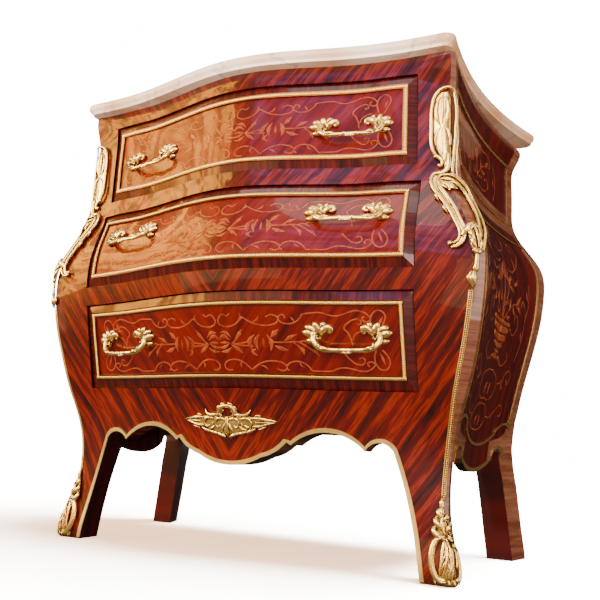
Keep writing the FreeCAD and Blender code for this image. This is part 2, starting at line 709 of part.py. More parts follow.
def make_pull(x, z):
    """Right-hand pull: two leaf plates, their posts and the hanging bar, with its bolts and holes."""
    middle = vec(x, front_y(x, z), z)
    reach = PULL_SPREAD
    along = vec(2 * reach, front_y(x + reach, z) - front_y(x - reach, z), 0).normalize()
    rise = vec(0, front_y(x, z + PULL_DROP) - front_y(x, z - PULL_DROP), 2 * PULL_DROP).normalize()
    out = along.cross(rise).normalize()
    hang = middle + out * PULL_STANDOFF
    bar = make_bail(hang, along, rise, out)
    knop_start = hang - rise * PULL_DROP - along * (PULL_KNOP_LENGTH / 2)
    pieces = [Part.makeCylinder(PULL_KNOP_RADIUS, PULL_KNOP_LENGTH, knop_start, along)]
    bolts = []
    holes = []
    sockets = []
    for sign in (-1, 1):
        foot = middle + along * (sign * reach)
        shank = foot - out * (2 * POST_RADIUS)
        post = Part.makeCylinder(POST_RADIUS, PULL_STANDOFF + 3 * POST_RADIUS, shank, out).cut(FORM)
        base = vec(foot.x, -FAR / 2, foot.z)
        outward = vec(sign, 0, 0)
        tips = [
            outward * LEAF_LENGTH + UP * LEAF_RISE,
            outward * -INNER_LEAF_LENGTH + UP * INNER_LEAF_RISE,
            outward * SHORT_LEAF_REACH + UP * LEAF_WIDTH,
            outward * SHORT_LEAF_REACH - UP * LEAF_WIDTH,
        ]
        blades = [leaf(base - tip * LEAF_OVERLAP, base + tip, LEAF_WIDTH) for tip in tips]
        plate = on_front(blades[0].fuse(blades[1:]), LEAF_PROUD)
        pieces += [plate, post]
        seat = foot - out * BOLT_SEAT_DEPTH
        length = BOLT_SEAT_DEPTH + BOLT_REACH
        bolt = Part.makeCylinder(BOLT_RADIUS, length, seat, out)
        head = Part.makeCylinder(BOLT_HEAD_RADIUS, BOLT_HEAD_THICK, seat, out * -1)
        bolts.append(bolt.fuse(head).removeSplitter())
        socket = Part.makeCylinder(BOLT_RADIUS + BOLT_CLEARANCE, length, seat, out)
        spot = Part.makeCylinder(BOLT_HEAD_RADIUS + BOLT_CLEARANCE, FAR / 4, seat, out * -1)
        sockets.append(socket)
        holes.append(socket.fuse(spot))
    return bar.fuse(pieces).cut(sockets), bolts, holes


def corner_piece(heights, width_at, proud):
    """Piece that wraps the canted front right corner, of a width on the front that changes with height."""
    sections = []
    for z in heights:
        x = front_half(z)
        y = corner_y(z)
        width = width_at(z)
        x_side = x + cant(z)
        y_side = y + cant(z)
        corners = [
            vec(x - width, y - proud, z),
            vec(x, y - proud, z),
            vec(x_side + proud, y_side, z),
            vec(x_side + proud, y_side + CORNER_WRAP, z),
            vec(x - width, y_side + CORNER_WRAP, z),
        ]
        sections.append(Part.Wire(polygon(corners)))
    return Part.makeLoft(sections, True, False).cut(FORM)


def corner_rod(heights, size):
    """Square rod let into the edge between the front and its cant."""
    sections = []
    for z in heights:
        edge = vec(front_half(z), corner_y(z), z)
        half = size / 2
        corners = [edge + vec(dx * half, dy * half, 0) for dx, dy in ((-1, -1), (1, -1), (1, 1), (-1, 1))]
        sections.append(Part.Wire(polygon(corners)))
    return Part.makeLoft(sections, True, False).cut(FORM)


def spaced(low, high, count):
    return [low + (high - low) * k / (count - 1) for k in range(count)]


def chute_width(z):
    leaf_z = (CHUTE_NECK_Z + CHUTE_TOP_Z) / 2
    width = CHUTE_TAIL_WIDTH
    width += (CHUTE_STRAND_WIDTH - CHUTE_TAIL_WIDTH) * ease(CHUTE_TAIL_Z, CHUTE_LOOP_Z, z)
    width += (CHUTE_NECK_WIDTH - CHUTE_STRAND_WIDTH) * ease(CHUTE_LOOP_Z, CHUTE_NECK_Z, z)
    width += (CHUTE_LEAF_WIDTH - CHUTE_NECK_WIDTH) * ease(CHUTE_NECK_Z, leaf_z, z)
    width -= (CHUTE_LEAF_WIDTH - CHUTE_NECK_WIDTH) * ease(leaf_z, CHUTE_TOP_Z, z)
    return width


def make_chutes():
    """Gilt mounts over the shoulders: a leaf on the neck, a strand down the corner and a curled arm."""
    heights = spaced(CHUTE_TAIL_Z, CHUTE_TOP_Z, 13)
    chute = corner_piece(heights, chute_width, CHUTE_PROUD)
    half = CHUTE_ARM_WIDTH / 2
    y = -FAR / 2
    top = vec(front_half(CHUTE_ARM_TOP_Z) - half, y, CHUTE_ARM_TOP_Z)
    curl_x = front_half(CHUTE_ARM_Z) - CHUTE_ARM_REACH - CHUTE_CURL_RADIUS
    foot = vec(curl_x, y, CHUTE_ARM_Z)
    bend_z = (CHUTE_ARM_TOP_Z + CHUTE_ARM_Z) / 2
    bend = vec(front_half(bend_z) - CHUTE_ARM_REACH, y, bend_z)
    side = vec(half, 0, 0)
    arm = push([
        arc_through(top - side, bend - side, foot - side),
        line_between(foot - side, foot + side),
        arc_through(foot + side, bend + side, top + side),
        line_between(top + side, top - side),
    ], FRONT_REACH)
    curl = Part.makeCylinder(CHUTE_CURL_RADIUS, FRONT_REACH.y, foot - side, vec(0, 1, 0))
    corner_x = front_half(CHUTE_LINK_Z) - half
    link = box(foot.x, corner_x, y, FOOT_Y, CHUTE_LINK_Z, CHUTE_LINK_Z + CHUTE_ARM_WIDTH)
    chute = chute.fuse(on_front(arm.fuse([curl, link]), CHUTE_ARM_PROUD)).removeSplitter()
    save("right_chute", chute)
    save("left_chute", mirrored(chute))


def sabot_width(z):
    return SABOT_BASE_WIDTH + (SABOT_TIP_WIDTH - SABOT_BASE_WIDTH) * ease(0, SABOT_TIP_Z, z)


def make_sabots():
    """Gilt leaf shoes on the front feet, pierced on the front."""
    shoe = corner_piece(spaced(SABOT_LIFT, SABOT_TIP_Z, 7), sabot_width, SABOT_PROUD)
    root = vec(FOOT_FRONT_HALF - SABOT_HOLE_INSET, -FAR / 2, SABOT_HOLE_LOW_Z)
    tip = root + vec(-SABOT_HOLE_LEAN, 0, SABOT_HOLE_LENGTH)
    shoe = shoe.cut(leaf(root, tip, SABOT_HOLE_WIDTH))
    save("right_sabot", shoe)
    save("left_sabot", mirrored(shoe))


def make_apron_mount():
    """Pierced leaf mount in the middle of the apron."""
    y = -FAR / 2
    tip = vec(MOUNT_TIP_HALF, y, MOUNT_TIP_Z)
    dip = vec(MOUNT_DIP_HALF, y, MOUNT_DIP_Z)
    spike = vec(MOUNT_SPIKE_HALF, y, MOUNT_SPIKE_Z)
    saddle = vec(MOUNT_SADDLE_HALF, y, MOUNT_SADDLE_Z)
    shoulder = vec(MOUNT_SHOULDER_HALF, y, MOUNT_SHOULDER_Z)
    belly = vec(MOUNT_BELLY_HALF, y, MOUNT_BELLY_Z)
    low = vec(0, y, MOUNT_LOW_Z)
    sweep = vec(0, 0, MOUNT_SWEEP)
    half = [
        arc_through(tip, dip, spike),
        arc_through(spike, (spike + saddle) * 0.5 - sweep, saddle),
        line_between(saddle, shoulder),
        arc_through(low, (low + belly) * 0.5 + sweep, belly),
        arc_through(belly, (belly + tip) * 0.5 - sweep, tip),
    ]
    opposite = [mirrored(edge) for edge in half]
    top = arc_through(vec(-shoulder.x, y, shoulder.z), vec(0, y, MOUNT_CREST_Z), shoulder)
    plate = push(Part.__sortEdges__(half + opposite + [top]), FRONT_REACH)
    eye = Part.makeCylinder(MOUNT_EYE_RADIUS, FAR, vec(0, y, MOUNT_EYE_Z), vec(0, 1, 0))
    save("apron_mount", on_front(plate.cut(eye), MOUNT_PROUD))


def make_front_trim():
    """Edging along the apron and legs, and beads down the corner edges."""
    band = front_cutout(EDGING_WIDTH).cut(FRONT_SPACE)
    band = band.common(box(-FAR, FAR, -FAR, 0, SABOT_LIFT, CARCASS_TOP))
    save("apron_edging", on_front(band, EDGING_PROUD))
    bead = corner_rod(spaced(SABOT_TIP_Z, CHUTE_TAIL_Z, 9), BEAD_SIZE)
    save("corner_beads", Part.makeCompound([bead, mirrored(bead)]))


def side_field(low, high, inset):
    """Prism on the outline of a framed field of the right side, drawn in by an inset."""
    heights = spaced(low + inset, high - inset, 7)
    margin = CORNER_WRAP + FILLET_MARGIN + inset
    near = [vec(0, corner_y(z) + cant(z) + margin, z) for z in heights]
    rear_y = BACK_Y - FILLET_REAR_MARGIN - inset
    rear_low = vec(0, rear_y, heights[0])
    rear_high = vec(0, rear_y, heights[-1])
    field = push([
        curve(near),
        line_between(near[-1], rear_high),
        line_between(rear_high, rear_low),
        line_between(rear_low, near[0]),
    ], vec(FAR, 0, 0))
    return field.cut(side_cutout(SIDE_APRON_BAND + inset))


def make_side_trim():
    """Gilt fillets that frame the upper and lower fields of a side, and its lower edging."""
    head_z = (FLARE_START_Z + CARCASS_TOP) / 2
    strips = []
    for low, high in ((SIDE_BAND_HIGH_Z, head_z), (SIDE_LOW_Z, SIDE_BAND_LOW_Z)):
        outline = side_field(low, high, 0).cut(side_field(low, high, FILLET_WIDTH))
        strips.append(on_side(outline, FILLET_PROUD))
    edge = side_cutout(EDGING_WIDTH).cut(SIDE_SPACE)
    edge = edge.common(box(0, FAR, LEG_BACK_Y, REAR_POST_Y, SIDE_LOW_Z, CARCASS_TOP))
    strips.append(on_side(edge, FILLET_PROUD))
    right = Part.makeCompound(strips)
    save("right_side_fillets", right)
    save("left_side_fillets", mirrored(right))


make_posts()
make_front_rails()
make_sides_and_back()
make_inner_boards()
make_stone()
for drawer in DRAWERS:
    make_drawer(*drawer)
make_chutes()
make_sabots()
make_apron_mount()
make_front_trim()
make_side_trim()
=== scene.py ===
# %% [markdown]
# # A bombe chest of drawers, dressed around its CAD model
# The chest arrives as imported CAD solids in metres: carcass, three sliding drawers, stone top and
# plain blanks for the gilt mounts. The lesson keeps those solids where they are, gives each a
# finish, and models the mounts and the inlay that a plain solid can't show.

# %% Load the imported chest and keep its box
import json
import math
import bpy
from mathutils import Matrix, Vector
from mathutils.bvhtree import BVHTree

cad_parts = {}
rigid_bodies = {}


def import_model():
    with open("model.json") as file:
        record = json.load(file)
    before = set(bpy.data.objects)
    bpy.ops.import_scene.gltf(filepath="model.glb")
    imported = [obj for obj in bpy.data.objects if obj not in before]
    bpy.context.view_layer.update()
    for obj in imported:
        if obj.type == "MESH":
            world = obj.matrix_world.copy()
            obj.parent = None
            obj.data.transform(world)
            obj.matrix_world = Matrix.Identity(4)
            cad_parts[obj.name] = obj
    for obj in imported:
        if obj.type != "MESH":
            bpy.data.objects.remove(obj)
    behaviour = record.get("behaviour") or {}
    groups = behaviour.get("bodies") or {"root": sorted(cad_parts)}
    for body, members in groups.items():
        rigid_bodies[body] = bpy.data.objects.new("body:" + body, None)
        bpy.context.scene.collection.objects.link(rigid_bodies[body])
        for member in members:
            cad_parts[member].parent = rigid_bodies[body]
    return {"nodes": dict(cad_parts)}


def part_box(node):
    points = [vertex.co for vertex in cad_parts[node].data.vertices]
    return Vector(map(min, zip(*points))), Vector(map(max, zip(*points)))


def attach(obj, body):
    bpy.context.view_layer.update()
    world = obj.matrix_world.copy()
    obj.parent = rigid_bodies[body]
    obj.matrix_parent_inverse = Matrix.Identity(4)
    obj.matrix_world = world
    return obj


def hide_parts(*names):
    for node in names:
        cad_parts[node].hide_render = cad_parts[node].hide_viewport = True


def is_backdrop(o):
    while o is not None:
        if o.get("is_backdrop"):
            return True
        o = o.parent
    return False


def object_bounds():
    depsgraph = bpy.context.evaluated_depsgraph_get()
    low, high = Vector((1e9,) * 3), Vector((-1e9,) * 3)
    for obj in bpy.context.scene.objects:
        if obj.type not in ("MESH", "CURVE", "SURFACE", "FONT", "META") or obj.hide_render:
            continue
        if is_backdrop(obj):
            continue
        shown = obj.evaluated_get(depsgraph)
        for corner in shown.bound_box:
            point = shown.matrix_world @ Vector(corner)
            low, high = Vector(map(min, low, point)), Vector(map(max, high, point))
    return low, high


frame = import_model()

cad_low, cad_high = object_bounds()
MM = 0.001
DRAWERS = ["drawer_1", "drawer_2", "drawer_3"]
HANDS = (("right", 1), ("left", -1))
print("nodes:", len(frame["nodes"]), "box:", [round(v, 3) for v in cad_high - cad_low])


# %% [markdown]
# ## Camera
# The photograph was taken close to the floor, from the right of the front, with the camera tipped
# up a little. Matching corners of the drawers gave the place and the angles below. A camera object
# points along its own -Z, so it is turned up by a right angle plus the tilt, then swung and rolled.

# %% Place the camera
CAMERA_PLACE = (0.621, -1.216, 0.192)
CAMERA_SWING = math.radians(25.44)
CAMERA_TILT = math.radians(11.95)
CAMERA_ROLL = math.radians(2.94)
SENSOR, LENS = 36, 41.48
bpy.ops.object.select_all(action="DESELECT")
bpy.ops.object.camera_add(location=CAMERA_PLACE, rotation=(math.pi / 2 + CAMERA_TILT, 0, CAMERA_SWING))
camera = bpy.context.object
camera.rotation_euler.rotate_axis("Z", CAMERA_ROLL)
camera.data.sensor_width = SENSOR
camera.data.lens = LENS
bpy.context.scene.camera = camera
print("camera height:", camera.location.z)


# %% [markdown]
# ## A short way to wire nodes
# Every finish here is a tree of nodes. These helpers keep the cells short: one starts a material,
# one wires the inputs of a node, one adds a new node, and the others wrap sums, colours and ramps.

# %% Node helpers
def start_finish(name):
    finish = bpy.data.materials.new(name)
    finish.use_nodes = True
    return finish, finish.node_tree, finish.node_tree.nodes["Principled BSDF"]


def wire(tree, node, inputs):
    """Links another node's output to each named input, or sets it to a plain value."""
    for key, value in inputs.items():
        if isinstance(value, bpy.types.NodeSocket):
            tree.links.new(value, node.inputs[key])
        else:
            node.inputs[key].default_value = value
    return node


def add(tree, kind, inputs=None, **settings):
    node = tree.nodes.new("ShaderNode" + kind)
    for key, value in settings.items():
        setattr(node, key, value)
    return wire(tree, node, inputs or {})


def sums(tree, operation, first, second=0.0, third=0.0):
    return add(tree, "Math", {0: first, 1: second, 2: third}, operation=operation).outputs[0]


def blend(tree, share, first, second):
    return add(tree, "Mix", {0: share, 6: first, 7: second}, data_type="RGBA").outputs[2]


def tint(red, green, blue):
    """Colour as a screen shows it, from 0 to 255, turned into the light values that nodes use."""
    def light(level):
        share = level / 255
        return share / 12.92 if share <= 0.04045 else ((share + 0.055) / 1.055) ** 2.4
    return (light(red), light(green), light(blue), 1)


def ramp(tree, factor, stops):
    """Colour along a factor: each stop is a position and a screen colour."""
    node = add(tree, "ValToRGB", {"Fac": factor})
    marks = node.color_ramp.elements
    while len(marks) < len(stops):
        marks.new(0.5)
    for mark, (position, *colour) in zip(marks, stops):
        mark.position = position
        mark.color = tint(*colour)
    return node.outputs["Color"]


def place(tree):
    coordinates = add(tree, "TexCoord")
    return add(tree, "SeparateXYZ", {0: coordinates.outputs["Object"]}).outputs


def noise(tree, scale, detail=3.0):
    spot = add(tree, "TexCoord").outputs["Object"]
    return add(tree, "TexNoise", {"Vector": spot, "Scale": scale, "Detail": detail}).outputs[0]


def lacquered(tree, shader, tone):
    """Colour under a clear, glossy lacquer."""
    wire(tree, shader, {"Base Color": tone, "Roughness": 0.4,
                        "Coat Weight": 1.0, "Coat Roughness": 0.05, "Coat IOR": 1.5})


def coat(finish, names):
    for name in names:
        slots = frame["nodes"][name].data.materials
        slots.clear()
        slots.append(finish)


print("helpers ready, finishes so far:", len(bpy.data.materials))


# %% [markdown]
# ## Floor
# A studio shot needs a pale floor without a visible end. The floor glows, warmly near the chest and
# white further out, so that its shadows stay light and warm and its far end melts into the backdrop.
# It is kept out of the reflections, which would turn milky.

# %% Studio floor
bpy.ops.mesh.primitive_plane_add(size=60)
floor = bpy.context.object
floor.name = "studio_floor"
floor.visible_glossy = False
floor.visible_diffuse = False
floor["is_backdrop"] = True
finish, tree, shader = start_finish("pale_floor")
PALE = [(0.3, 246, 243, 238), (0.7, 255, 253, 250)]
spot = add(tree, "TexCoord").outputs["Object"]
far = add(tree, "VectorMath", {0: spot}, operation="LENGTH").outputs["Value"]
share = add(tree, "MapRange", {"Value": far, "From Min": 0.8, "From Max": 2.6}).outputs[0]
glow = add(tree, "MapRange", {"Value": share, "To Min": 2.3, "To Max": 16.0})
wire(tree, shader, {"Base Color": ramp(tree, noise(tree, 1.2, 2.0), PALE), "Roughness": 0.7,
                    "Emission Color": blend(tree, share, tint(255, 202, 160), tint(255, 255, 255)),
                    "Emission Strength": glow.outputs[0]})
floor.data.materials.append(finish)
print("floor side in metres:", round(floor.dimensions.x))


# %% [markdown]
# ## Lights
# The lacquer shows every light as a reflection, so the warm key stands at the left, where the left
# half of the bowed front mirrors it, and the right half mirrors a cooler and weaker light. Some lamps
# are kept to a few objects by light linking: the floor, the gilding, the stone and the back have
# lamps of their own, as a photographer flags lamps off with boards.

# %% Lamps
def soft_light(name, place, aim, width, height, watts, colour):
    bpy.ops.object.light_add(type="AREA", location=place)
    light = bpy.context.object
    light.name = name
    light.rotation_euler = (Vector(aim) - Vector(place)).to_track_quat("-Z", "Y").to_euler()
    light.data.shape = "RECTANGLE"
    light.data.size = width
    light.data.size_y = height
    light.data.energy = watts
    light.data.color = colour
    return light


def only_for(name, lights, objects=()):
    """Keeps lights to some objects, and gives their list, so that more can be added."""
    kept = bpy.data.collections.new(name)
    for each in objects:
        kept.objects.link(each)
    for light in lights:
        light.light_linking.receiver_collection = kept
    return kept


key = soft_light("key_left", (-2.4, -1.55, 1.7), (0, -0.2, 0.6), 2.4, 2.0, 120, (1.0, 0.4, 0.04))
cool = soft_light("cool_front", (0.6, -3.2, 2.4), (0, -0.2, 0.6), 3.2, 2.0, 18, (0.36, 0.3, 0.8))
soft_light("fill_right", (1.9, -2.3, 0.6), (0.1, -0.2, 0.35), 1.2, 1.0, 36, (1.0, 0.66, 0.58))
soft_light("right_wall", (2.6, -0.1, 0.9), (0.4, 0, 0.5), 1.1, 2.2, 32, (1.0, 0.82, 0.7))
soft_light("low_bounce", (-1.0, -2.3, 0.62), (-0.1, -0.3, 0.35), 2.6, 1.1, 13, (1.0, 0.46, 0.2))
soft_light("overhead", (0.6, -0.6, 3.4), (0, 0, 0), 3.0, 3.0, 55, (1.0, 0.96, 0.9))
wash = soft_light("floor_wash", (1.5, 0.5, 4.0), (0.2, -0.2, 0), 3.0, 3.0, 4600, (0.98, 0.99, 1.0))
only_for("floor_only", [wash], [floor])
trim = soft_light("trim_light", (0.4, -2.6, 2.0), (0, -0.2, 0.4), 1.8, 1.0, 110, (1.0, 0.86, 0.52))
trim_left = soft_light("trim_left", (-2.2, -1.9, 1.5), (0, -0.2, 0.5), 1.5, 1.2, 130, (1.0, 0.88, 0.56))
trim_only = only_for("trim_only", [trim, trim_left])
stone = soft_light("stone_light", (-0.3, -2.6, 0.5), (0, -0.2, 0.86), 1.8, 1.0, 140, (1.0, 0.88, 0.76))
stone_low = soft_light("stone_low", (1.6, -1.2, 0.15), (0.35, 0, 0.86), 1.0, 1.0, 30, (1.0, 0.66, 0.42))
only_for("stone_only", [stone, stone_low], [frame["nodes"]["stone_top"]])
back = soft_light("back_light", (-1.0, 3.0, 1.0), (0, 0.2, 0.45), 1.8, 1.4, 70, (1.0, 0.94, 0.88))
back_names = ["back_panel", "back_rails", "rear_left_post", "rear_right_post", "stone_top"]
back_only = only_for("back_only", [back], [frame["nodes"][name] for name in back_names])


# %% [markdown]
# ## Clouds and backdrop
# Polished wood mirrors a lamp as a flat patch. Real rooms are uneven, so a noise over the lamp's own
# surface breaks the two big reflections up. The world is plain white to the camera, and to everything
# else a dim warm room that is lighter in front of the chest than behind it.

# %% Clouded lamps and world
def clouded(light, scale, dim, bright):
    """Uneven brightness over a light, which polished wood mirrors as soft clouds."""
    light.data.use_nodes = True
    tree = light.data.node_tree
    spot = add(tree, "NewGeometry").outputs["Parametric"]
    cloud = add(tree, "TexNoise", {"Vector": spot, "Scale": scale, "Detail": 9.0, "Distortion": 2.0})
    shade = add(tree, "MapRange", {"Value": cloud.outputs[0], "From Min": 0.43, "From Max": 0.54,
                                   "To Min": dim, "To Max": bright})
    wire(tree, tree.nodes["Emission"], {"Strength": shade.outputs[0]})


clouded(key, 6.0, 0.12, 1.5)
clouded(cool, 3.0, 0.3, 2.0)
world = bpy.data.worlds.new("white_studio")
bpy.context.scene.world = world
world.use_nodes = True
tree = world.node_tree
depth = add(tree, "SeparateXYZ", {0: add(tree, "TexCoord").outputs["Generated"]}).outputs["Y"]
level = add(tree, "MapRange", {"Value": depth, "From Min": -0.3, "From Max": 0.5,
                               "To Min": 0.14, "To Max": 0.02})
room = add(tree, "Background", {"Color": (1.0, 0.9, 0.82, 1), "Strength": level.outputs[0]})
backdrop = wire(tree, tree.nodes["Background"], {"Color": (1, 1, 1, 1), "Strength": 16.0})
seen = add(tree, "LightPath").outputs["Is Camera Ray"]
choice = add(tree, "MixShader", {"Fac": seen, 1: room.outputs[0], 2: backdrop.outputs[0]})
wire(tree, tree.nodes["World Output"], {"Surface": choice.outputs[0]})
print("world nodes:", len(tree.nodes))


# %% [markdown]
# ## Striped veneer
# The posts, rails and apron are covered with a striped red-brown veneer laid at a slant, with the
# two halves mirrored so that the stripes meet in a V on the middle line. Stretching a noise along the
# grain turns its blots into stripes, and each wood is a ramp of screen colours over that noise.

# %% Wood grain
def grain(tree, across, along, stops, stripes=70, fine=430):
    """Colour of striped wood from the distances across and along its grain, in metres."""
    drawn = sums(tree, "MULTIPLY", along, 0.06)
    spot = add(tree, "CombineXYZ", {0: across, 1: drawn}).outputs[0]
    broad = add(tree, "TexNoise", {"Vector": spot, "Scale": stripes, "Detail": 4.0, "Roughness": 0.6})
    thin = add(tree, "TexNoise", {"Vector": spot, "Scale": fine, "Detail": 2.0})
    mixed = sums(tree, "MULTIPLY_ADD", thin.outputs[0], 0.3, sums(tree, "MULTIPLY", broad.outputs[0], 0.75))
    return ramp(tree, mixed, stops)


SLANT = math.radians(54)


def slant(tree, level, sideways):
    """Distances across and along a grain that rises sideways at the veneer's angle."""
    across = sums(tree, "SUBTRACT", sums(tree, "MULTIPLY", level, math.cos(SLANT)),
                  sums(tree, "MULTIPLY", sideways, math.sin(SLANT)))
    along = sums(tree, "ADD", sums(tree, "MULTIPLY", level, math.sin(SLANT)),
                 sums(tree, "MULTIPLY", sideways, math.cos(SLANT)))
    return across, along


VENEER = [(0.38, 22, 1, 0), (0.46, 88, 8, 0), (0.53, 126, 17, 1),
          (0.6, 190, 58, 10), (0.68, 70, 5, 0)]
FIELD = [(0.36, 84, 7, 0), (0.5, 142, 17, 1), (0.62, 178, 40, 5), (0.72, 112, 11, 1)]
BORDER = [(0.36, 40, 3, 3), (0.5, 92, 11, 4), (0.64, 140, 36, 12)]
BAND = [(0.36, 112, 58, 34), (0.5, 152, 92, 62), (0.64, 182, 126, 92)]
SHADED = [(0.35, 20, 1, 0), (0.5, 52, 5, 1), (0.65, 84, 12, 3)]
DARK = [(0.35, 34, 2, 0), (0.5, 84, 9, 2), (0.65, 122, 22, 6)]
CALM, CROSS = (45, 300), (110, 500)
print("wood colours:", len(VENEER + FIELD + BORDER + BAND + SHADED + DARK))


# %% [markdown]
# ## Crossband on the sides
# Inside the gilt fillets the sides are dark, and outside them they have a paler crossband that
# follows the curved edges. The fillets' own meshes tell where their outer lines run: an edge that
# crosses a level gives the foremost and the rearmost place there, and two curves pass these on to
# the finish. One finish then serves the side panel and the side faces of both posts.

# %% Side colour
LEVELS = [0.22 + 0.04 * step for step in range(16)]
WAIST, WAIST_HALF = 0.668, 0.022
CURVE_ZERO = 0.5


def crossings(mesh, level, axis):
    """Places along an axis where the edges of a mesh cross a level."""
    ends = [[mesh.vertices[corner].co for corner in edge.vertices] for edge in mesh.edges]
    return [one[axis] + (two[axis] - one[axis]) * (level - one.z) / (two.z - one.z)
            for one, two in ends if (one.z - level) * (two.z - level) < 0]


def fillet_line(pick):
    """Foremost or rearmost place of the right side's fillets at each level."""
    mesh = frame["nodes"]["right_side_fillets"].data
    found = [(level, crossings(mesh, level, 1)) for level in LEVELS]
    return [(level, pick(places)) for level, places in found if places]


def level_curve(tree, z, points):
    """Curve node that gives a place in Y, in metres, for each level."""
    node = add(tree, "FloatCurve", {"Value": z})
    curve = node.mapping.curves[0]
    curve.points[0].location = (points[0][0], points[0][1] + CURVE_ZERO)
    curve.points[1].location = (points[-1][0], points[-1][1] + CURVE_ZERO)
    for level, y in points[1:-1]:
        curve.points.new(level, y + CURVE_ZERO)
    node.mapping.extend = "HORIZONTAL"
    node.mapping.update()
    return sums(tree, "SUBTRACT", node.outputs[0], CURVE_ZERO)


FOREMOST, REARMOST = fillet_line(min), fillet_line(max)


def side_tone(tree, y, z):
    ahead = sums(tree, "LESS_THAN", y, level_curve(tree, z, FOREMOST))
    behind = sums(tree, "GREATER_THAN", y, level_curve(tree, z, REARMOST))
    between = sums(tree, "COMPARE", z, WAIST, WAIST_HALF)
    outside = sums(tree, "MAXIMUM", sums(tree, "MAXIMUM", ahead, behind), between)
    return blend(tree, outside, grain(tree, y, z, DARK, *CALM), grain(tree, z, y, BAND, *CROSS))


def outward(tree, x):
    """How far a face looks away from the middle of the chest, from minus one to one."""
    turned = add(tree, "SeparateXYZ", {0: add(tree, "NewGeometry").outputs["Normal"]}).outputs[0]
    return sums(tree, "MULTIPLY", turned, sums(tree, "SIGN", x))


def beside(tree, x):
    return sums(tree, "GREATER_THAN", outward(tree, x), 0.5)


print("levels with a fillet:", len(FOREMOST), len(REARMOST))


# %% [markdown]
# ## Front of the carcass
# Posts, rails and apron share one finish, so that the stripes run on from piece to piece. Taking the
# absolute value of X mirrors them. Faces that look sideways get the side colour instead, and the
# inner faces of the legs are painted much darker, as shade.

# %% Front veneer
finish, tree, shader = start_finish("striped_veneer")
x, y, z = place(tree)
across, along = slant(tree, z, sums(tree, "ABSOLUTE", x))
# Faces that look towards the middle of the chest get the SHADED ramp: painted shade.
inner_painted_shade = sums(tree, "LESS_THAN", outward(tree, x), -0.6)
striped = blend(tree, inner_painted_shade, grain(tree, across, along, VENEER), grain(tree, y, z, SHADED, *CALM))
lacquered(tree, shader, blend(tree, beside(tree, x), striped, side_tone(tree, y, z)))
FRONT = ["front_left_post", "front_right_post", "frieze_rail", "upper_drawer_rail",
         "lower_drawer_rail", "apron_rail"]
coat(finish, FRONT)
print("striped pieces:", len(FRONT))


# %% [markdown]
# ## Drawer fronts
# Each front has a plainer veneered field inside its gilt frame and a crossbanded border outside it:
# the border's grain runs at right angles to the nearest edge and meets in mitres at the corners.
# The field and the border are told apart by comparing X and Z with the frame's own box.

# %% Drawer front finishes
def drawer_veneer(name):
    low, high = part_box(name + "_frame")
    finish, tree, shader = start_finish(name + "_veneer")
    x, y, z = place(tree)
    side = sums(tree, "ABSOLUTE", x)
    middle = (low.z + high.z) / 2
    beyond_x = sums(tree, "SUBTRACT", side, high.x)
    rise = sums(tree, "ABSOLUTE", sums(tree, "SUBTRACT", z, middle))
    beyond_z = sums(tree, "SUBTRACT", rise, high.z - middle)
    outside = sums(tree, "GREATER_THAN", sums(tree, "MAXIMUM", beyond_x, beyond_z), 0.0)
    upright = sums(tree, "GREATER_THAN", beyond_x, beyond_z)
    across, along = slant(tree, z, side)
    field = grain(tree, across, along, FIELD, 60, 380)
    end_band = grain(tree, z, x, BORDER, *CROSS)
    long_band = grain(tree, x, z, BORDER, *CROSS)
    border = blend(tree, upright, long_band, end_band)
    lacquered(tree, shader, blend(tree, outside, field, border))
    return finish


for name in DRAWERS:
    coat(drawer_veneer(name), [name + "_front"])
    print(name, "front veneered")


# %% [markdown]
# ## Sides
# The sides carry a much darker veneer behind their marquetry. Its grain is upright, so the noise is
# stretched along Z and read across Y. The rear posts have the crossband on their outer faces, where
# it darkens towards the floor, and the dark veneer on the others.

# %% Side panel and rear post finishes
finish, tree, shader = start_finish("side_veneer")
x, y, z = place(tree)
lacquered(tree, shader, side_tone(tree, y, z))
coat(finish, ["left_side_panel", "right_side_panel"])

REAR_VENEER, tree, shader = start_finish("rear_post_veneer")
x, y, z = place(tree)
above_floor = add(tree, "MapRange", {"Value": z, "From Min": 0.0, "From Max": 0.26, "To Min": 0.75})
banded = sums(tree, "MULTIPLY", above_floor.outputs[0], beside(tree, x))
lacquered(tree, shader, blend(tree, banded, grain(tree, y, z, DARK, *CALM), side_tone(tree, y, z)))
coat(REAR_VENEER, ["rear_left_post", "rear_right_post"])
print("side finishes:", finish.name, REAR_VENEER.name)


# %% [markdown]
# ## Inner woods
# Drawer linings are a pale plain-sawn wood with its grain along the board, waxed but not polished.
# The boards inside the carcass and at its back are a rougher brown wood. Both get pores as bump.

# %% Lining and carcass finishes
def plain_wood(name, stops, axis, rough):
    finish, tree, shader = start_finish(name)
    spots = place(tree)
    across = sums(tree, "ADD", spots[2], spots[1 - axis])
    tone = grain(tree, across, spots[axis], stops, 38, 420)
    pores = add(tree, "Bump", {"Strength": 0.25, "Distance": 0.0004, "Height": tone})
    wire(tree, shader, {"Base Color": tone, "Normal": pores.outputs[0], "Roughness": rough})
    return finish


LINING = [(0.36, 176, 128, 78), (0.5, 206, 164, 112), (0.66, 222, 186, 138)]
BROWN = [(0.36, 96, 62, 40), (0.5, 128, 88, 58), (0.66, 150, 108, 74)]
long_lining = plain_wood("lining_along_x", LINING, 0, 0.55)
deep_lining = plain_wood("lining_along_y", LINING, 1, 0.55)
for name in DRAWERS:
    coat(deep_lining, [name + "_left_side", name + "_right_side"])
    coat(long_lining, [name + "_back", name + "_bottom"])
coat(plain_wood("carcass_wood", BROWN, 0, 0.7),
     ["back_panel", "back_rails", "sub_top", "bottom_board", "drawer_stops"])
coat(plain_wood("runner_wood", BROWN, 1, 0.7), ["drawer_runners", "drawer_guides", "kickers"])
print("finishes:", len(bpy.data.materials))
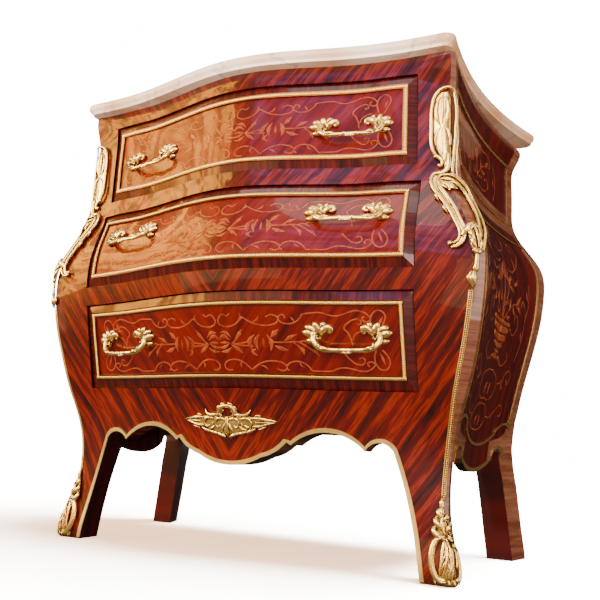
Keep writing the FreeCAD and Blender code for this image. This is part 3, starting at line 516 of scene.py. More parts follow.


# %% [markdown]
# ## Stone top
# The top is a warm cream stone with soft brown clouds and a few thin darker veins, polished to a
# dull gloss. One noise gives the clouds, and a narrow ramp over a finer one leaves only thin lines
# of it. The faces of the slab that look sideways are painted browner than its front, as shade.

# %% Stone finish
finish, tree, shader = start_finish("cream_stone")
CREAM = [(0.32, 222, 182, 146), (0.5, 248, 226, 200), (0.66, 255, 246, 232)]
THIN = [(0.47, 0, 0, 0), (0.5, 255, 255, 255), (0.53, 0, 0, 0)]
clouds = ramp(tree, noise(tree, 7.0, 6.0), CREAM)
faint = sums(tree, "MULTIPLY", ramp(tree, noise(tree, 11.0, 8.0), THIN), 0.35)
veined = blend(tree, faint, clouds, tint(128, 84, 58))
# Painted shade: faces that look sideways, the slab's ends, are blended towards tan.
ends = sums(tree, "MULTIPLY", beside(tree, place(tree)[0]), 0.6)
wire(tree, shader, {"Base Color": blend(tree, ends, veined, tint(196, 142, 98)), "Roughness": 0.22})
coat(finish, ["stone_top"])
print("stone nodes:", len(tree.nodes))


# %% [markdown]
# ## Gilt brass
# The mounts are cast brass, chased and gilded: pale gold on the high places, with painted shade in
# the hollows as olive brown and a painted highlight on the most open places. Ambient occlusion finds
# the hollows, a fine noise makes the chased ground uneven, and the roughness follows another noise
# so that the gold glitters in patches. The bed under the ribs of the drawer frames is painted dark
# as shade, so that only the ribs shine.

# %% Gilt and steel finishes
def gilt(name, high, low, reach, dull=0.12, painted_highlight=(255, 220, 136)):
    finish, tree, shader = start_finish(name)
    # Ambient occlusion picks out the hollows, which the ramp below darkens as painted shade.
    painted_hollow_shade = add(tree, "AmbientOcclusion", {"Distance": reach}, samples=8)
    worn = noise(tree, 160.0, 4.0)
    open_share = sums(tree, "MULTIPLY_ADD", worn, 0.35, sums(tree, "SUBTRACT", painted_hollow_shade.outputs["AO"], 0.25))
    # From painted shade in the hollows through open gold to a painted highlight on the most open places.
    tone = ramp(tree, open_share, [(0.26, *low), (0.7, *high), (0.95, *painted_highlight)])
    rough = sums(tree, "MULTIPLY_ADD", noise(tree, 90.0, 3.0), 0.24, dull)
    chased = add(tree, "Bump", {"Strength": 0.35, "Distance": 0.0006, "Height": noise(tree, 520.0, 2.0)})
    wire(tree, shader, {"Base Color": tone, "Roughness": rough, "Metallic": 0.85,
                        "Normal": chased.outputs[0]})
    return finish


# Each gilt gets its open gold first, then the painted shade of its hollows.
GILT = gilt("gilt_brass", (246, 198, 98), (104, 66, 12), 0.006)
TRIM = gilt("gilt_trim", (252, 204, 84), (176, 114, 26), 0.003, 0.28)
# The frames' CAD strips get a dark gilt as painted shade beside and between the ribs.
SHADED_FRAME_BED = gilt("painted_shade_frame_bed", (104, 54, 18), (52, 22, 6), 0.003, 0.28, (128, 70, 26))
FILLET = gilt("gilt_fillet", (238, 186, 116), (150, 98, 46), 0.003)
FRAMES = [name + "_frame" for name in DRAWERS]
coat(TRIM, ["apron_edging"])
coat(SHADED_FRAME_BED, FRAMES)
coat(FILLET, ["left_side_fillets", "right_side_fillets"])
for name in FRAMES + ["apron_edging"]:
    trim_only.objects.link(frame["nodes"][name])

finish, tree, shader = start_finish("bolt_steel")
STEEL = [(0.35, 96, 92, 88), (0.65, 150, 148, 144)]
tone = ramp(tree, noise(tree, 220.0, 4.0), STEEL)
wire(tree, shader, {"Base Color": tone, "Metallic": 1.0, "Roughness": 0.38})
coat(finish, [name + "_pull_bolts" for name in DRAWERS])
print("finishes:", len(bpy.data.materials))


# %% [markdown]
# ## Laying ornament on a curved surface
# Mounts and inlay follow the swelling wood, so they are drawn flat, in millimetres, and then laid
# on. A ray shot at the wood gives the place under each drawn point, and the hits around it give
# a smooth normal to lift it along.

# %% Ways to the wood
def skin(names):
    """Search tree over the faces of some CAD nodes."""
    points, faces = [], []
    for name in names:
        mesh = frame["nodes"][name].data
        start = len(points)
        points += [v.co.copy() for v in mesh.vertices]
        faces += [[start + i for i in face.vertices] for face in mesh.polygons]
    return BVHTree.FromPolygons(points, faces)


PAST_HOLE = 8
AROUND = ((1, 0), (-1, 0), (0, 1), (0, -1))


def bridged(shoot):
    """Way to the wood that takes the mean of the places around a bolt hole when a ray falls into it."""
    def hit(u, v):
        spot = shoot(u, v)
        if spot:
            return spot
        around = [shoot(u + PAST_HOLE * du, v + PAST_HOLE * dv) for du, dv in AROUND]
        found = [p for p in around if p]
        return sum(found, Vector()) / len(found) if found else None
    return hit


def front_of(tree, sign=1):
    """Way from (x, z) in millimetres to the wood's front; sign -1 mirrors x."""
    ahead = Vector((0, 1, 0))
    return bridged(lambda u, v: tree.ray_cast(Vector((sign * u * MM, -1, v * MM)), ahead)[0])


def side_of(tree, sign=1):
    """Way from (y, z) in millimetres to the right side; sign -1 takes the left side."""
    inward = Vector((-sign, 0, 0))
    return bridged(lambda u, v: tree.ray_cast(Vector((sign, u * MM, v * MM)), inward)[0])


def laid(hit, u, v, lift, step=6.0):
    """Point above the wood at a drawn place, lifted along a normal taken from the hits around it."""
    spot = hit(u, v)
    if spot is None:
        raise ValueError("no wood at %.1f %.1f" % (u, v))
    after, before, above, below = [hit(u + step * du, v + step * dv) or spot for du, dv in AROUND]
    normal = (after - before).cross(above - below).normalized()
    away = Vector((spot.x, min(spot.y, 0), 0))
    if normal.dot(away) < 0:
        normal = -normal
    return spot + normal * lift * MM


middle = front_of(skin(["drawer_2_front"]))(0, 568)
print("front of drawer 2 in its middle:", [round(v, 3) for v in middle])


# %% [markdown]
# ## Strands
# Mounts and inlay are made of strands: bevelled Bezier curves whose radius changes from point to
# point, flattened a little, which is how a modeller would roll them in wax. The curves are turned
# into meshes, laid on the wood and closed. Then a piece gets its finish and its body, and the CAD
# nodes that it stands in for are hidden.

# %% Strand tools
def rolled(name, lines, flat=0.7, sides=2, fine=5):
    """Mesh of rounded strands: each line is a list of (u, v, half width, lift) points in millimetres."""
    bpy.ops.object.select_all(action="DESELECT")
    bpy.ops.curve.primitive_bezier_curve_add()
    strand = bpy.context.object
    strand.name = name
    data = strand.data
    data.splines.clear()
    data.dimensions = "3D"
    data.twist_mode = "Z_UP"
    data.bevel_depth = 1.0
    data.bevel_resolution = sides
    data.resolution_u = fine
    data.use_fill_caps = True
    for line in lines:
        spline = data.splines.new("BEZIER")
        spline.bezier_points.add(len(line) - 1)
        for knot, (u, v, half, lift) in zip(spline.bezier_points, line):
            knot.co = (u, v, lift / flat)
            knot.radius = half
            knot.handle_left_type = "AUTO"
            knot.handle_right_type = "AUTO"
    bpy.ops.object.convert(target="MESH")
    for vertex in strand.data.vertices:
        vertex.co.z *= flat
    return strand


def chosen(*pieces):
    """Selects only these pieces, with the first of them active."""
    bpy.ops.object.select_all(action="DESELECT")
    for piece in pieces:
        piece.select_set(True)
    bpy.context.view_layer.objects.active = pieces[0]


def welded(piece, nearness):
    """Merges the corners of a mesh that lie closer together than a distance in metres."""
    chosen(piece)
    bpy.ops.object.mode_set(mode="EDIT")
    bpy.ops.mesh.select_all(action="SELECT")
    bpy.ops.mesh.remove_doubles(threshold=nearness)
    bpy.ops.object.mode_set(mode="OBJECT")


def lay(piece, hit, step=6.0):
    """Lays a drawn mesh on the wood and closes it."""
    for vertex in piece.data.vertices:
        vertex.co = laid(hit, vertex.co.x, vertex.co.y, vertex.co.z, step)
    welded(piece, 0.005 * MM)
    bpy.ops.object.mode_set(mode="EDIT")
    bpy.ops.mesh.normals_make_consistent(inside=False)
    bpy.ops.object.mode_set(mode="OBJECT")
    bpy.ops.object.shade_smooth()
    return piece


def settle(piece, finish, body, slot, *nodes):
    """Gives a piece its finish and body, links gilt pieces to the gilt lamps and hides the CAD nodes it
    replaces.
    """
    piece.data.materials.clear()
    piece.data.materials.append(finish)
    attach(piece, body)
    if slot == "gilt_brass":
        trim_only.objects.link(piece)
    if nodes:
        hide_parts(*nodes)
    print(piece.name, len(piece.data.polygons), "faces")


def mirrored(lines, middle=0.0):
    return lines + [[(2 * middle - u, v, half, lift) for u, v, half, lift in line] for line in lines]


print("strand tools ready, finishes:", len(bpy.data.materials))


# %% [markdown]
# ## Pulls
# Each pull is one casting: two sprays of leaves screwed to the front, and a bar that grows out of
# them, hangs below and stands off far enough for fingers. One half is drawn as strands, mirrored,
# and laid at six places, two on each drawer. The bar is only a strand with a large lift.

# %% Pulls
PULL_HALF = [
    [(43, -3, 4, 2), (55, 2, 7.4, 3), (65, 4, 6, 3), (72, 5, 2, 1)],
    [(45, 2, 3.5, 2), (54, 9, 6.4, 4), (61, 12, 5, 4), (67, 13, 1.8, 2)],
    [(43, 2, 3.5, 2), (46, 11, 6.2, 4), (50, 17, 4.6, 4), (53, 20, 1.8, 2)],
    [(43, 0, 4, 2), (37, 9, 5.6, 5), (30, 13, 5, 5), (25, 11, 3.8, 5), (27, 6, 3, 4), (31, 7, 2.4, 4)],
    [(46, -4, 3.5, 2), (55, -8, 5.6, 4), (62, -8, 4, 3), (67, -7, 1.4, 1)],
    [(40, 12, 2.4, 4), (38, 17, 4.6, 4), (33, 19, 1.6, 3)],
    [(52, 6, 4.5, 6), (54, -3, 5, 9), (49, -12, 5, 15), (38, -18, 4.4, 19), (22, -19, 3.8, 21),
     (10, -19, 3.6, 22), (0, -19.5, 4.4, 22)],
    [(50, 3, 1.2, 10), (52, -5, 1.4, 13), (47, -13, 1.4, 19), (38, -17.5, 1.2, 23)],
    [(44, -14, 1.5, 18), (36, -16, 3.4, 22), (27, -17.5, 0.6, 24)],
    [(18, -18, 0.6, 22.5), (11, -18, 2.8, 23.2), (5, -19, 1, 24)],
    [(10, -22, 0.6, 23), (4, -22, 2.6, 23.5), (0, -23, 1.8, 23.5)],
    [(46, -2, 2, 3), (46, -2, 4, 9), (46, -3, 1, 13)],
    [(46, -1, 0.7, 6), (56, 3, 1, 9), (70, 5.5, 0.4, 3)],
    [(46, 3, 0.7, 6), (55, 10, 0.9, 9), (66, 14.5, 0.4, 4)],
]
PULL_PLACES = {"drawer_1": (211, 735), "drawer_2": (221, 568), "drawer_3": (220, 370)}
PULL_FLAT, PULL_STEP = 0.75, 14.0
for name in DRAWERS:
    face = skin([name + "_front"])
    along, level = PULL_PLACES[name]
    shifted = [[(u + along, v + level, half, lift) for u, v, half, lift in line]
               for line in mirrored(PULL_HALF)]
    for hand, sign in HANDS:
        flat_pull = rolled("%s_%s_leaf_pull" % (name, hand), shifted, PULL_FLAT)
        pull = lay(flat_pull, front_of(face, sign), PULL_STEP)
        settle(pull, GILT, name, "gilt_brass", "%s_%s_pull" % (name, hand))


# %% [markdown]
# ## Rows of small balls
# The ribs of the drawer frames and the beads on the corners are rows of small balls. A frame has
# hundreds of them, so a ball has only a few dozen faces, and all the balls of a piece are written
# straight into one mesh, which is much quicker than joining objects.

# %% Ball tools
def ball():
    """Corners and faces of a coarse ball of radius one."""
    bpy.ops.mesh.primitive_uv_sphere_add(segments=8, ring_count=5, radius=1)
    model = bpy.context.object
    points = [v.co.copy() for v in model.data.vertices]
    faces = [tuple(face.vertices) for face in model.data.polygons]
    bpy.data.objects.remove(model)
    return points, faces


BALL_POINTS, BALL_FACES = ball()


def beaded(name, sizes, places):
    """One mesh of small balls with three half lengths in millimetres, kept behind the CAD box's front."""
    points, faces = [], []
    for spot, along, away in places:
        across = away.cross(along)
        start = len(points)
        points += [spot + (along * p.x * sizes[0] + across * p.y * sizes[1] + away * p.z * sizes[2]) * MM
                   for p in BALL_POINTS]
        faces += [tuple(start + i for i in face) for face in BALL_FACES]
    for point in points:
        point.y = max(point.y, cad_low[1])
    mesh = bpy.data.meshes.new(name)
    mesh.from_pydata(points, [], faces)
    mesh.shade_smooth()
    piece = bpy.data.objects.new(name, mesh)
    bpy.context.collection.objects.link(piece)
    return piece


def row_places(hit, run, pitch, lift):
    """Evenly spaced points laid on the wood along a straight run, each with the ways along and outward."""
    (u_start, v_start), (u_end, v_end) = run
    du, dv = u_end - u_start, v_end - v_start
    length = math.hypot(du, dv)
    count = round(length / pitch)
    places = []
    for step in range(count):
        share = (step + 0.5) / count
        u, v = u_start + du * share, v_start + dv * share
        spot = laid(hit, u, v, lift)
        along = (laid(hit, u + du / length, v + dv / length, lift) - spot).normalized()
        away = (laid(hit, u, v, lift + 5) - spot).normalized()
        places.append((spot, along, away))
    return places


print("faces of a ball:", len(BALL_FACES))


# %% [markdown]
# ## Ribbed frames
# The gilt frames are strips with fine ribs across them, pressed by a roller. Each rib is a flattened
# ball on the CAD strip, and the four runs of ribs meet in the corners.

# %% Ribs on the drawer frames
RIB = (1.5, 3.1, 1.0)
RIB_PITCH, RIB_LIFT, RIB_INSET = 2.6, 2.75, 4.0
for name in DRAWERS:
    low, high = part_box(name + "_frame")
    right = high.x / MM - RIB_INSET
    foot, head = low.z / MM + RIB_INSET, high.z / MM - RIB_INSET
    wide = right + RIB[1]
    runs = [[(-wide, foot), (wide, foot)], [(right, foot), (right, head)],
            [(wide, head), (-wide, head)], [(-right, head), (-right, foot)]]
    hit = front_of(skin([name + "_front"]))
    places = [spot for run in runs for spot in row_places(hit, run, RIB_PITCH, RIB_LIFT)]
    settle(beaded(name + "_frame_ribs", RIB, places), TRIM, name, "gilt_brass")


# %% [markdown]
# ## Corner mounts
# The chutes on the shoulders and the sabots on the feet wrap the canted corner: they are drawn on
# an unrolled corner, where u is the distance from the corner's front edge, minus towards the
# front and plus over the cant and the side, and v is the height. The half width of the front
# and the cant are the only sizes of the form that the unrolling needs.

# %% Unrolled corner
def ease(low, high, z):
    """Share from nought to one between two levels, with soft ends."""
    share = min(max((z - low) / (high - low), 0.0), 1.0)
    return 0.5 - 0.5 * math.cos(math.pi * share)


def front_half(z):
    """Half width of the front at a height, in millimetres."""
    belly = 376 - 15 * ease(0, 118, z) + 58 * ease(118, 496, z)
    return belly - 45 * ease(496, 660, z) + 4 * ease(752, 858, z)


def cant(z):
    """Width of the canted corner at a height, seen from the front, in millimetres."""
    return 6 + 10 * ease(200, 330, z) - 8 * ease(620, 760, z)


CANT_END = 0.2


def corner_of(tree, sign=1):
    """Way from (u, v) on the unrolled corner to the wood."""
    front, side = front_of(tree, sign), side_of(tree, sign)

    def hit(u, v):
        edge, width = front_half(v), cant(v)
        slope = width * math.sqrt(2)
        if u <= 0:
            return front(edge + u, v)
        if u < slope:
            return front(edge + u / math.sqrt(2), v)
        rear = front(edge + width - CANT_END, v)
        return side(rear.y / MM + u - slope, v) if rear else None
    return hit


POSTS = {"right": skin(["front_right_post"]), "left": skin(["front_left_post"])}
print("front half width and cant at the belly:", front_half(496), cant(496))


# %% [markdown]
# ## Castings
# A casting is made of rounded strands over nearly flat plates. Its hollow bands have a rim on each
# side of a drawn middle line. The mounts come in pairs, so both hands are laid from one drawing.

# %% Casting tools
RIM_REACH, RIM_SHARE, RIM_LEAST, PLATE_LIFT = 0.72, 0.3, 0.5, 3.0


def channel(line, lift=5.5):
    """Two rims beside a drawn middle line of (u, v, half width) and the plate between them."""
    rims = [[], []]
    for here, (u, v, half) in enumerate(line):
        before, after = line[max(here - 1, 0)], line[min(here + 1, len(line) - 1)]
        du, dv = after[0] - before[0], after[1] - before[1]
        length = math.hypot(du, dv)
        reach = half * RIM_REACH
        thick = half * RIM_SHARE + RIM_LEAST
        for rim, side in zip(rims, (-1, 1)):
            rim.append((u - side * dv / length * reach, v + side * du / length * reach, thick, lift))
    return rims, [(u, v, half, PLATE_LIFT) for u, v, half in line]


def joined(first, second):
    chosen(first, second)
    bpy.ops.object.join()
    return first


STRAND_FLAT, PLATE_FLAT = 0.8, 0.16


def cast(name, strands, plates, hit, step=7.0):
    """Rounded strands over nearly flat plates, laid on the wood as one casting."""
    body = rolled(name, strands, STRAND_FLAT)
    return lay(joined(body, rolled(name + "_plates", plates, PLATE_FLAT)), hit, step)


def on_corners(name, strands, plates, node):
    for hand, sign in HANDS:
        piece = cast("%s_%s" % (hand, name), strands, plates, corner_of(POSTS[hand], sign))
        settle(piece, GILT, "carcass", "gilt_brass", "%s_%s" % (hand, node))


print("casting tools ready, posts:", len(POSTS))


# %% [markdown]
# ## Rear legs
# The rear legs of the chest are plain square posts that run straight to the floor. A copy of each
# CAD post is welded into one mesh. Below the knee its sections are slid out to a straight line, and
# the leg is made deeper towards the front, which fades out below the sides, so that nothing above
# the legs changes. The deeper part follows the splay of the sides, tucked in behind their skin.

# %% Straight rear legs
KNEE, STEPS = 0.2, 20
DEEPER, BACK_FACE, AT_FLOOR = 0.3, 0.262, 0.4
FADE_LOW, FADE_HIGH, LEG_TOP = 0.21, 0.265, 0.27
SPLAY, TUCK, TUCK_FROM = 0.27, 0.0015, 0.16


def middle_line(mesh):
    """Middle of a leg across the chest, at even steps from the floor to the knee."""
    cuts = [crossings(mesh, max(KNEE * step / STEPS, 0.001), 0) for step in range(STEPS + 1)]
    return [(min(cut) + max(cut)) / 2 for cut in cuts]


def straight_leg(hand):
    node = frame["nodes"]["rear_%s_post" % hand]
    piece = bpy.data.objects.new("straight_rear_%s_leg" % hand, node.data.copy())
    bpy.context.scene.collection.objects.link(piece)
    welded(piece, 0.02 * MM)
    drawn = middle_line(piece.data)
    for point in piece.data.vertices:
        x, y, z = point.co
        if z < LEG_TOP:
            fade = 1 - ease(FADE_LOW, FADE_HIGH, z)
            fuller = DEEPER * fade * (AT_FLOOR + (1 - AT_FLOOR) * min(z / KNEE, 1))
            forward = (BACK_FACE - y) * fuller
            inward = SPLAY * forward + (TUCK if z > TUCK_FROM and forward > 0 else 0)
            straight = here = 0
            if z < KNEE:
                step = min(int(z / KNEE * STEPS), STEPS - 1)
                share = z / KNEE * STEPS - step
                here = drawn[step] * (1 - share) + drawn[step + 1] * share
                straight = drawn[0] + (drawn[STEPS] - drawn[0]) * z / KNEE
            point.co = (x + straight - here - math.copysign(inward, x), y - forward, z)
    back_only.objects.link(piece)
    settle(piece, REAR_VENEER, "carcass", "veneer", "rear_%s_post" % hand)


straight_leg("left")
straight_leg("right")


# %% [markdown]
# ## Chutes
# A chute is the long leafy mount on the shoulder: a round-headed plate with a raised rim, a ragged
# scroll below it, then an arm and a corner strand that leave a D-shaped opening, join in a leafy
# block and end in a drop. Every part of it is a strand; wide flat ones make the plates.

# %% Chutes
CHUTE_ARM = [(-13, 641, 4.5), (-23, 635, 7), (-26, 619, 8.4), (-20, 597, 8.4), (-15, 575, 7.6),
             (-13, 551, 6.6),
             (-11, 531, 6), (-15, 517, 5.6), (-24, 509, 5), (-32, 508, 4.4)]
CHUTE_CORNER = [(-14, 634, 5), (2, 630, 6.5), (15, 619, 6), (21, 600, 5), (23, 575, 4.6), (21.5, 548, 4.8),
                (17, 524, 5.6), (10, 500, 5)]
arm_rims, arm_plate = channel(CHUTE_ARM)
corner_rims, corner_plate = channel(CHUTE_CORNER)
CHUTE_PLATES = [
    [(-10, 790, 7, 2.5), (-11, 778, 14, 2.5), (-12, 750, 16, 2.5), (-12, 715, 16, 2.5), (-9, 690, 13, 2.5),
     (-3, 670, 9, 2.5), (0, 650, 6, 2.5)],
    arm_plate,
    corner_plate,
    [(-20, 630, 6, 3.5), (-9, 620, 9, 3.5), (3, 617, 8, 3.5), (12, 616, 4, 3.5)],
    [(5, 538, 7, 4), (6, 526, 11, 5), (6, 508, 10, 5), (6, 492, 5, 4)],
]
CHUTE = arm_rims + corner_rims + [
    [(-20, 672, 2.6, 5), (-27, 688, 3, 6), (-29, 728, 3, 6), (-28, 764, 3, 6), (-23, 784, 3, 6),
     (-12, 794, 3, 6), (0, 795, 2.8, 6), (8, 787, 2.4, 5)],
    [(6, 790, 2.4, 5), (9, 764, 2.6, 6), (9, 724, 2.6, 6), (7, 690, 2.6, 6), (5, 660, 2.6, 6),
     (4, 640, 2.4, 5)],
    [(13, 782, 1.6, 3), (14, 740, 1.8, 4), (13, 700, 1.8, 4), (12, 660, 1.8, 4), (12, 634, 1.8, 4)],
    [(-12, 722, 1, 4), (-20, 744, 4, 5), (-20, 766, 3.6, 5), (-14, 780, 0.8, 5)],
    [(-10, 722, 1, 4), (-4, 744, 3.8, 5), (-3, 764, 3.2, 5), (-7, 780, 0.8, 5)],
    [(-11, 730, 1, 5), (-11, 752, 3, 6.5), (-11, 772, 2.4, 6), (-10, 788, 0.6, 5)],
    [(-22, 690, 1, 4), (-21, 708, 2.6, 5), (-17, 720, 2.2, 5), (-12, 724, 0.8, 5)],
    [(1, 690, 1, 4), (0, 708, 2.4, 5), (-4, 720, 2, 5), (-10, 724, 0.8, 5)],
    [(-10, 676, 1.2, 4), (-11, 700, 2, 5), (-11, 722, 0.8, 5)],
    [(-23, 674, 3.6, 5), (-15, 669, 3.4, 5), (-10, 661, 3, 5), (-13, 655, 2.6, 4), (-17, 658, 2, 4)],
    [(-2, 676, 4, 5), (-2, 660, 4.6, 6), (-4, 648, 4.4, 5), (-12, 641, 4.2, 5), (-21, 641, 3.4, 5)],
    [(-32, 509, 4.4, 6), (-33, 511, 4.6, 6), (-31, 513, 2, 5)],
    [(-25, 606, 0.8, 6), (-31, 597, 3, 6), (-30, 588, 0.6, 4)],
    [(-20, 583, 0.8, 6), (-26, 573, 3, 6), (-24, 564, 0.6, 4)],
    [(-20, 630, 1, 5), (-21, 614, 2.2, 6.5), (-17, 596, 1.6, 6), (-14, 578, 0.6, 5)],
    [(2, 639, 2, 6), (15, 629, 2.2, 7), (24, 606, 2.2, 7), (26.5, 576, 2.2, 7), (25, 548, 2.2, 7),
     (21, 520, 2.2, 6),
     (15, 497, 2, 5)],
    [(-16, 624, 1, 5), (-10, 619, 3.2, 6.5), (-6, 612, 2.2, 6), (-7, 606, 0.6, 5)],
    [(-2, 624, 1, 5), (7, 617, 3.2, 6.5), (13, 607, 2.2, 6), (15, 598, 0.6, 5)],
    [(-12, 522, 4.4, 4), (-5, 531, 5.4, 6), (6, 539, 5, 6), (15, 537, 3, 5)],
    [(-1, 536, 0.8, 6), (-1, 524, 3.2, 8), (4, 510, 0.6, 7)],
    [(13, 536, 0.8, 6), (12, 524, 3, 8), (7, 510, 0.6, 7)],
    [(-1, 524, 0.8, 6), (0, 510, 3, 8), (5, 497, 0.6, 6)],
    [(12, 522, 0.8, 6), (11, 508, 2.8, 8), (7, 496, 0.6, 6)],
    [(5, 544, 0.8, 8), (6, 522, 2, 10), (6, 500, 0.6, 8)],
    [(0, 500, 3.4, 5), (6, 496, 5, 6), (12, 500, 3.4, 5)],
    [(6, 494, 3.4, 5), (5, 480, 3.2, 5), (4, 470, 4.6, 5), (3, 464, 2.6, 4)],
    [(3, 468, 2, 4), (1, 456, 5.6, 5), (2, 446, 3.8, 4), (3, 439, 0.6, 2)],
    [(-2, 466, 0.6, 4), (-5, 456, 2.2, 5), (-2, 447, 0.5, 3)],
    [(3, 464, 0.5, 7), (1, 454, 1.2, 9), (3, 444, 0.4, 6)],
]
on_corners("leafy_chute", CHUTE, CHUTE_PLATES, "chute")


# %% [markdown]
# ## Sabots
# The shoe on each front foot rises to a point of small leaves. Its body is a veined leaf on the
# corner between two loops, and the left loop leaves a teardrop of wood showing. A ribbed band
# finishes it just above the floor.

# %% Sabots
LEFT_LOOP = [(-4, 70, 2.4, 5), (-11, 66, 3.8, 6), (-18, 58, 4.6, 6), (-23, 46, 5, 6), (-25, 32, 5.2, 6),
             (-22, 18, 5.2, 6), (-15, 10, 4.8, 6), (-6, 9, 4, 5)]
RIGHT_LOOP = [(3, 68, 2.4, 5), (9, 60, 3, 6), (14, 46, 3.4, 6), (16, 31, 3.6, 6), (14, 16, 3.6, 6),
              (8, 9, 3.4, 5)]
LEFT_RIDGE = [(u + 1.5, v - 1, 1.1, lift + 3.4) for u, v, half, lift in LEFT_LOOP]
SABOT_PLATES = [
    [(-3, 112, 3, 2.5), (-4, 98, 7, 2.5), (-5, 84, 10, 2.5), (-4, 70, 9, 2.5)],
    [(-1, 66, 5, 3), (0, 50, 8.5, 3.5), (-1, 34, 10, 3.5), (-4, 20, 11, 3.5), (-7, 10, 12, 3)],
    [(-24, 8.8, 4, 3), (-12, 7, 5.5, 3.5), (4, 7, 5.5, 3.5), (14, 8.8, 4, 3)],
]
SABOT = [LEFT_LOOP, RIGHT_LOOP, LEFT_RIDGE] + [
    [(-3, 126, 0.5, 2), (-3, 119, 3.2, 4), (-3, 111, 3, 4)],
    [(-3, 112, 2, 4), (-4, 105, 4.2, 5), (-4, 97, 3, 5)],
    [(-2, 94, 2, 5), (-6, 100, 3.6, 6), (-8, 105, 3, 5), (-6, 109, 1.4, 4)],
    [(-1, 92, 2, 5), (3, 97, 3, 6), (4, 103, 0.8, 4)],
    [(-1, 78, 2, 5), (-8, 85, 4.8, 6.5), (-12, 91, 4, 6), (-10, 97, 2, 5)],
    [(1, 76, 2, 5), (6, 83, 3.6, 6.5), (7, 91, 1.2, 5)],
    [(-2, 64, 2, 5), (-11, 70, 5.2, 6.5), (-16, 77, 4.4, 6), (-13, 84, 2.2, 5)],
    [(3, 66, 2, 5), (8, 71, 3.2, 6), (10, 78, 0.8, 4)],
    [(-3, 98, 0.8, 7), (-4, 86, 1.6, 9), (-2, 70, 0.8, 8)],
    [(-1, 68, 1.4, 5), (3, 50, 2.4, 6.5), (3, 32, 2.6, 7), (-1, 12, 2, 6)],
    [(-3, 64, 1.4, 5), (-7, 48, 2.4, 6), (-10, 32, 2.4, 6), (-14, 16, 1.8, 5)],
    [(-1, 58, 0.5, 7), (-2, 40, 1, 9), (-7, 14, 0.6, 8)],
    [(-1, 50, 0.5, 7), (-5, 40, 1, 8), (-8, 28, 0.4, 6)],
    [(-2, 38, 0.5, 7), (-7, 28, 1, 8), (-11, 18, 0.4, 6)],
    [(-1, 48, 0.5, 7), (2, 38, 1, 9), (1, 26, 0.4, 7)],
    [(-2, 34, 0.5, 7), (1, 24, 1, 9), (-1, 14, 0.4, 7)],
    [(9, 54, 0.6, 5), (10, 40, 1.6, 5.5), (9, 26, 0.6, 5)],
] + [[(u, 11, 1.2, 5), (u, 4.6, 1.7, 6)] for u in (-21, -14.5, -8, -1.5, 5, 11)]
on_corners("leafy_sabot", SABOT, SABOT_PLATES, "sabot")


# %% [markdown]
# ## Apron mount
# The pierced mount on the apron has an arched crest with a hole, spiky shoulders, small scrolls all
# over its plate and two leafy points. Half of it is drawn and mirrored about the middle line.

# %% Apron mount
MOUNT_HALF = [
    [(0, 255, 3.4, 5), (8, 254, 3.4, 5), (14, 249, 3.2, 5), (15, 242, 2.8, 5), (10, 237, 2.4, 4.5)],
    [(3, 258, 1.4, 4), (8, 258.5, 2, 4.5), (12, 256, 1, 4)],
    [(13, 255, 1, 4), (17, 252, 2, 4.5), (19, 247, 1, 4)],
    [(14, 240, 2, 4), (24, 240, 3, 5), (34, 240, 3, 5), (41, 243, 2, 4), (45, 249, 0.5, 2)],
    [(3, 231, 2, 5), (11, 234, 2.4, 6), (20, 232, 2.4, 6), (23, 225, 2.2, 6), (18, 219, 2, 5),
     (13, 222, 1.6, 5)],
    [(27, 233, 2, 5), (36, 235, 2.4, 6), (44, 232, 2.4, 6), (46, 226, 2.2, 6), (40, 220, 2, 5),
     (34, 223, 1.6, 5)],
    [(47, 235, 2, 4), (62, 235, 2.8, 5), (76, 233, 2.2, 4), (92, 231, 0.5, 2)],
    [(47, 222, 2, 4), (60, 222, 2.6, 5), (74, 226, 2, 4), (88, 229.5, 0.5, 2)],
    [(52, 229, 0.8, 4), (66, 229, 1.2, 5), (84, 230, 0.5, 3)],
    [(4, 203, 2.5, 4), (12, 206, 3, 5), (20, 209, 1.5, 4)],
    [(20, 208, 2, 4), (28, 210, 3, 5), (36, 212, 1.5, 4)],
    [(36, 211, 2, 4), (44, 214, 3, 5), (53, 218, 1.5, 4)],
    [(0, 237, 3, 4), (0, 225, 4.4, 6), (0, 212, 4, 6), (0, 202, 1, 3)],
    [(3, 227, 1.4, 5), (8, 217, 2.8, 6), (12, 210, 1, 4)],
    [(24, 222, 1.2, 5), (30, 217, 2.6, 6), (39, 215, 1, 4)],
    [(27, 228, 1, 5), (29, 223, 1.8, 5.5), (27, 217, 0.8, 5)],
    [(52, 238, 0.8, 4), (58, 240, 1.8, 4.5), (64, 239, 0.6, 3)],
    [(58, 217, 0.8, 4), (65, 219, 1.8, 4.5), (72, 222, 0.6, 3)],
]
MOUNT_PLATES = [
    [(0, 220, 17, 3), (16, 223, 16, 3), (34, 226, 14, 3), (50, 228, 9.5, 3), (66, 229, 6.5, 3),
     (88, 230.5, 1, 2)],
    [(8, 249, 4, 3), (15, 244, 5, 3), (18, 236, 5, 3)],
]
apron = front_of(skin(["apron_rail"]))
mount = cast("leafy_apron_mount", mirrored(MOUNT_HALF), mirrored(MOUNT_PLATES), apron, 8.0)
settle(mount, GILT, "carcass", "gilt_brass", "apron_mount")


# %% [markdown]
# ## Beads on the corner edges
# A row of small gilt beads runs down the front edge of each canted corner, between two thin
# fillets, from the chute to the sabot. The row is a straight line on the unrolled corner.

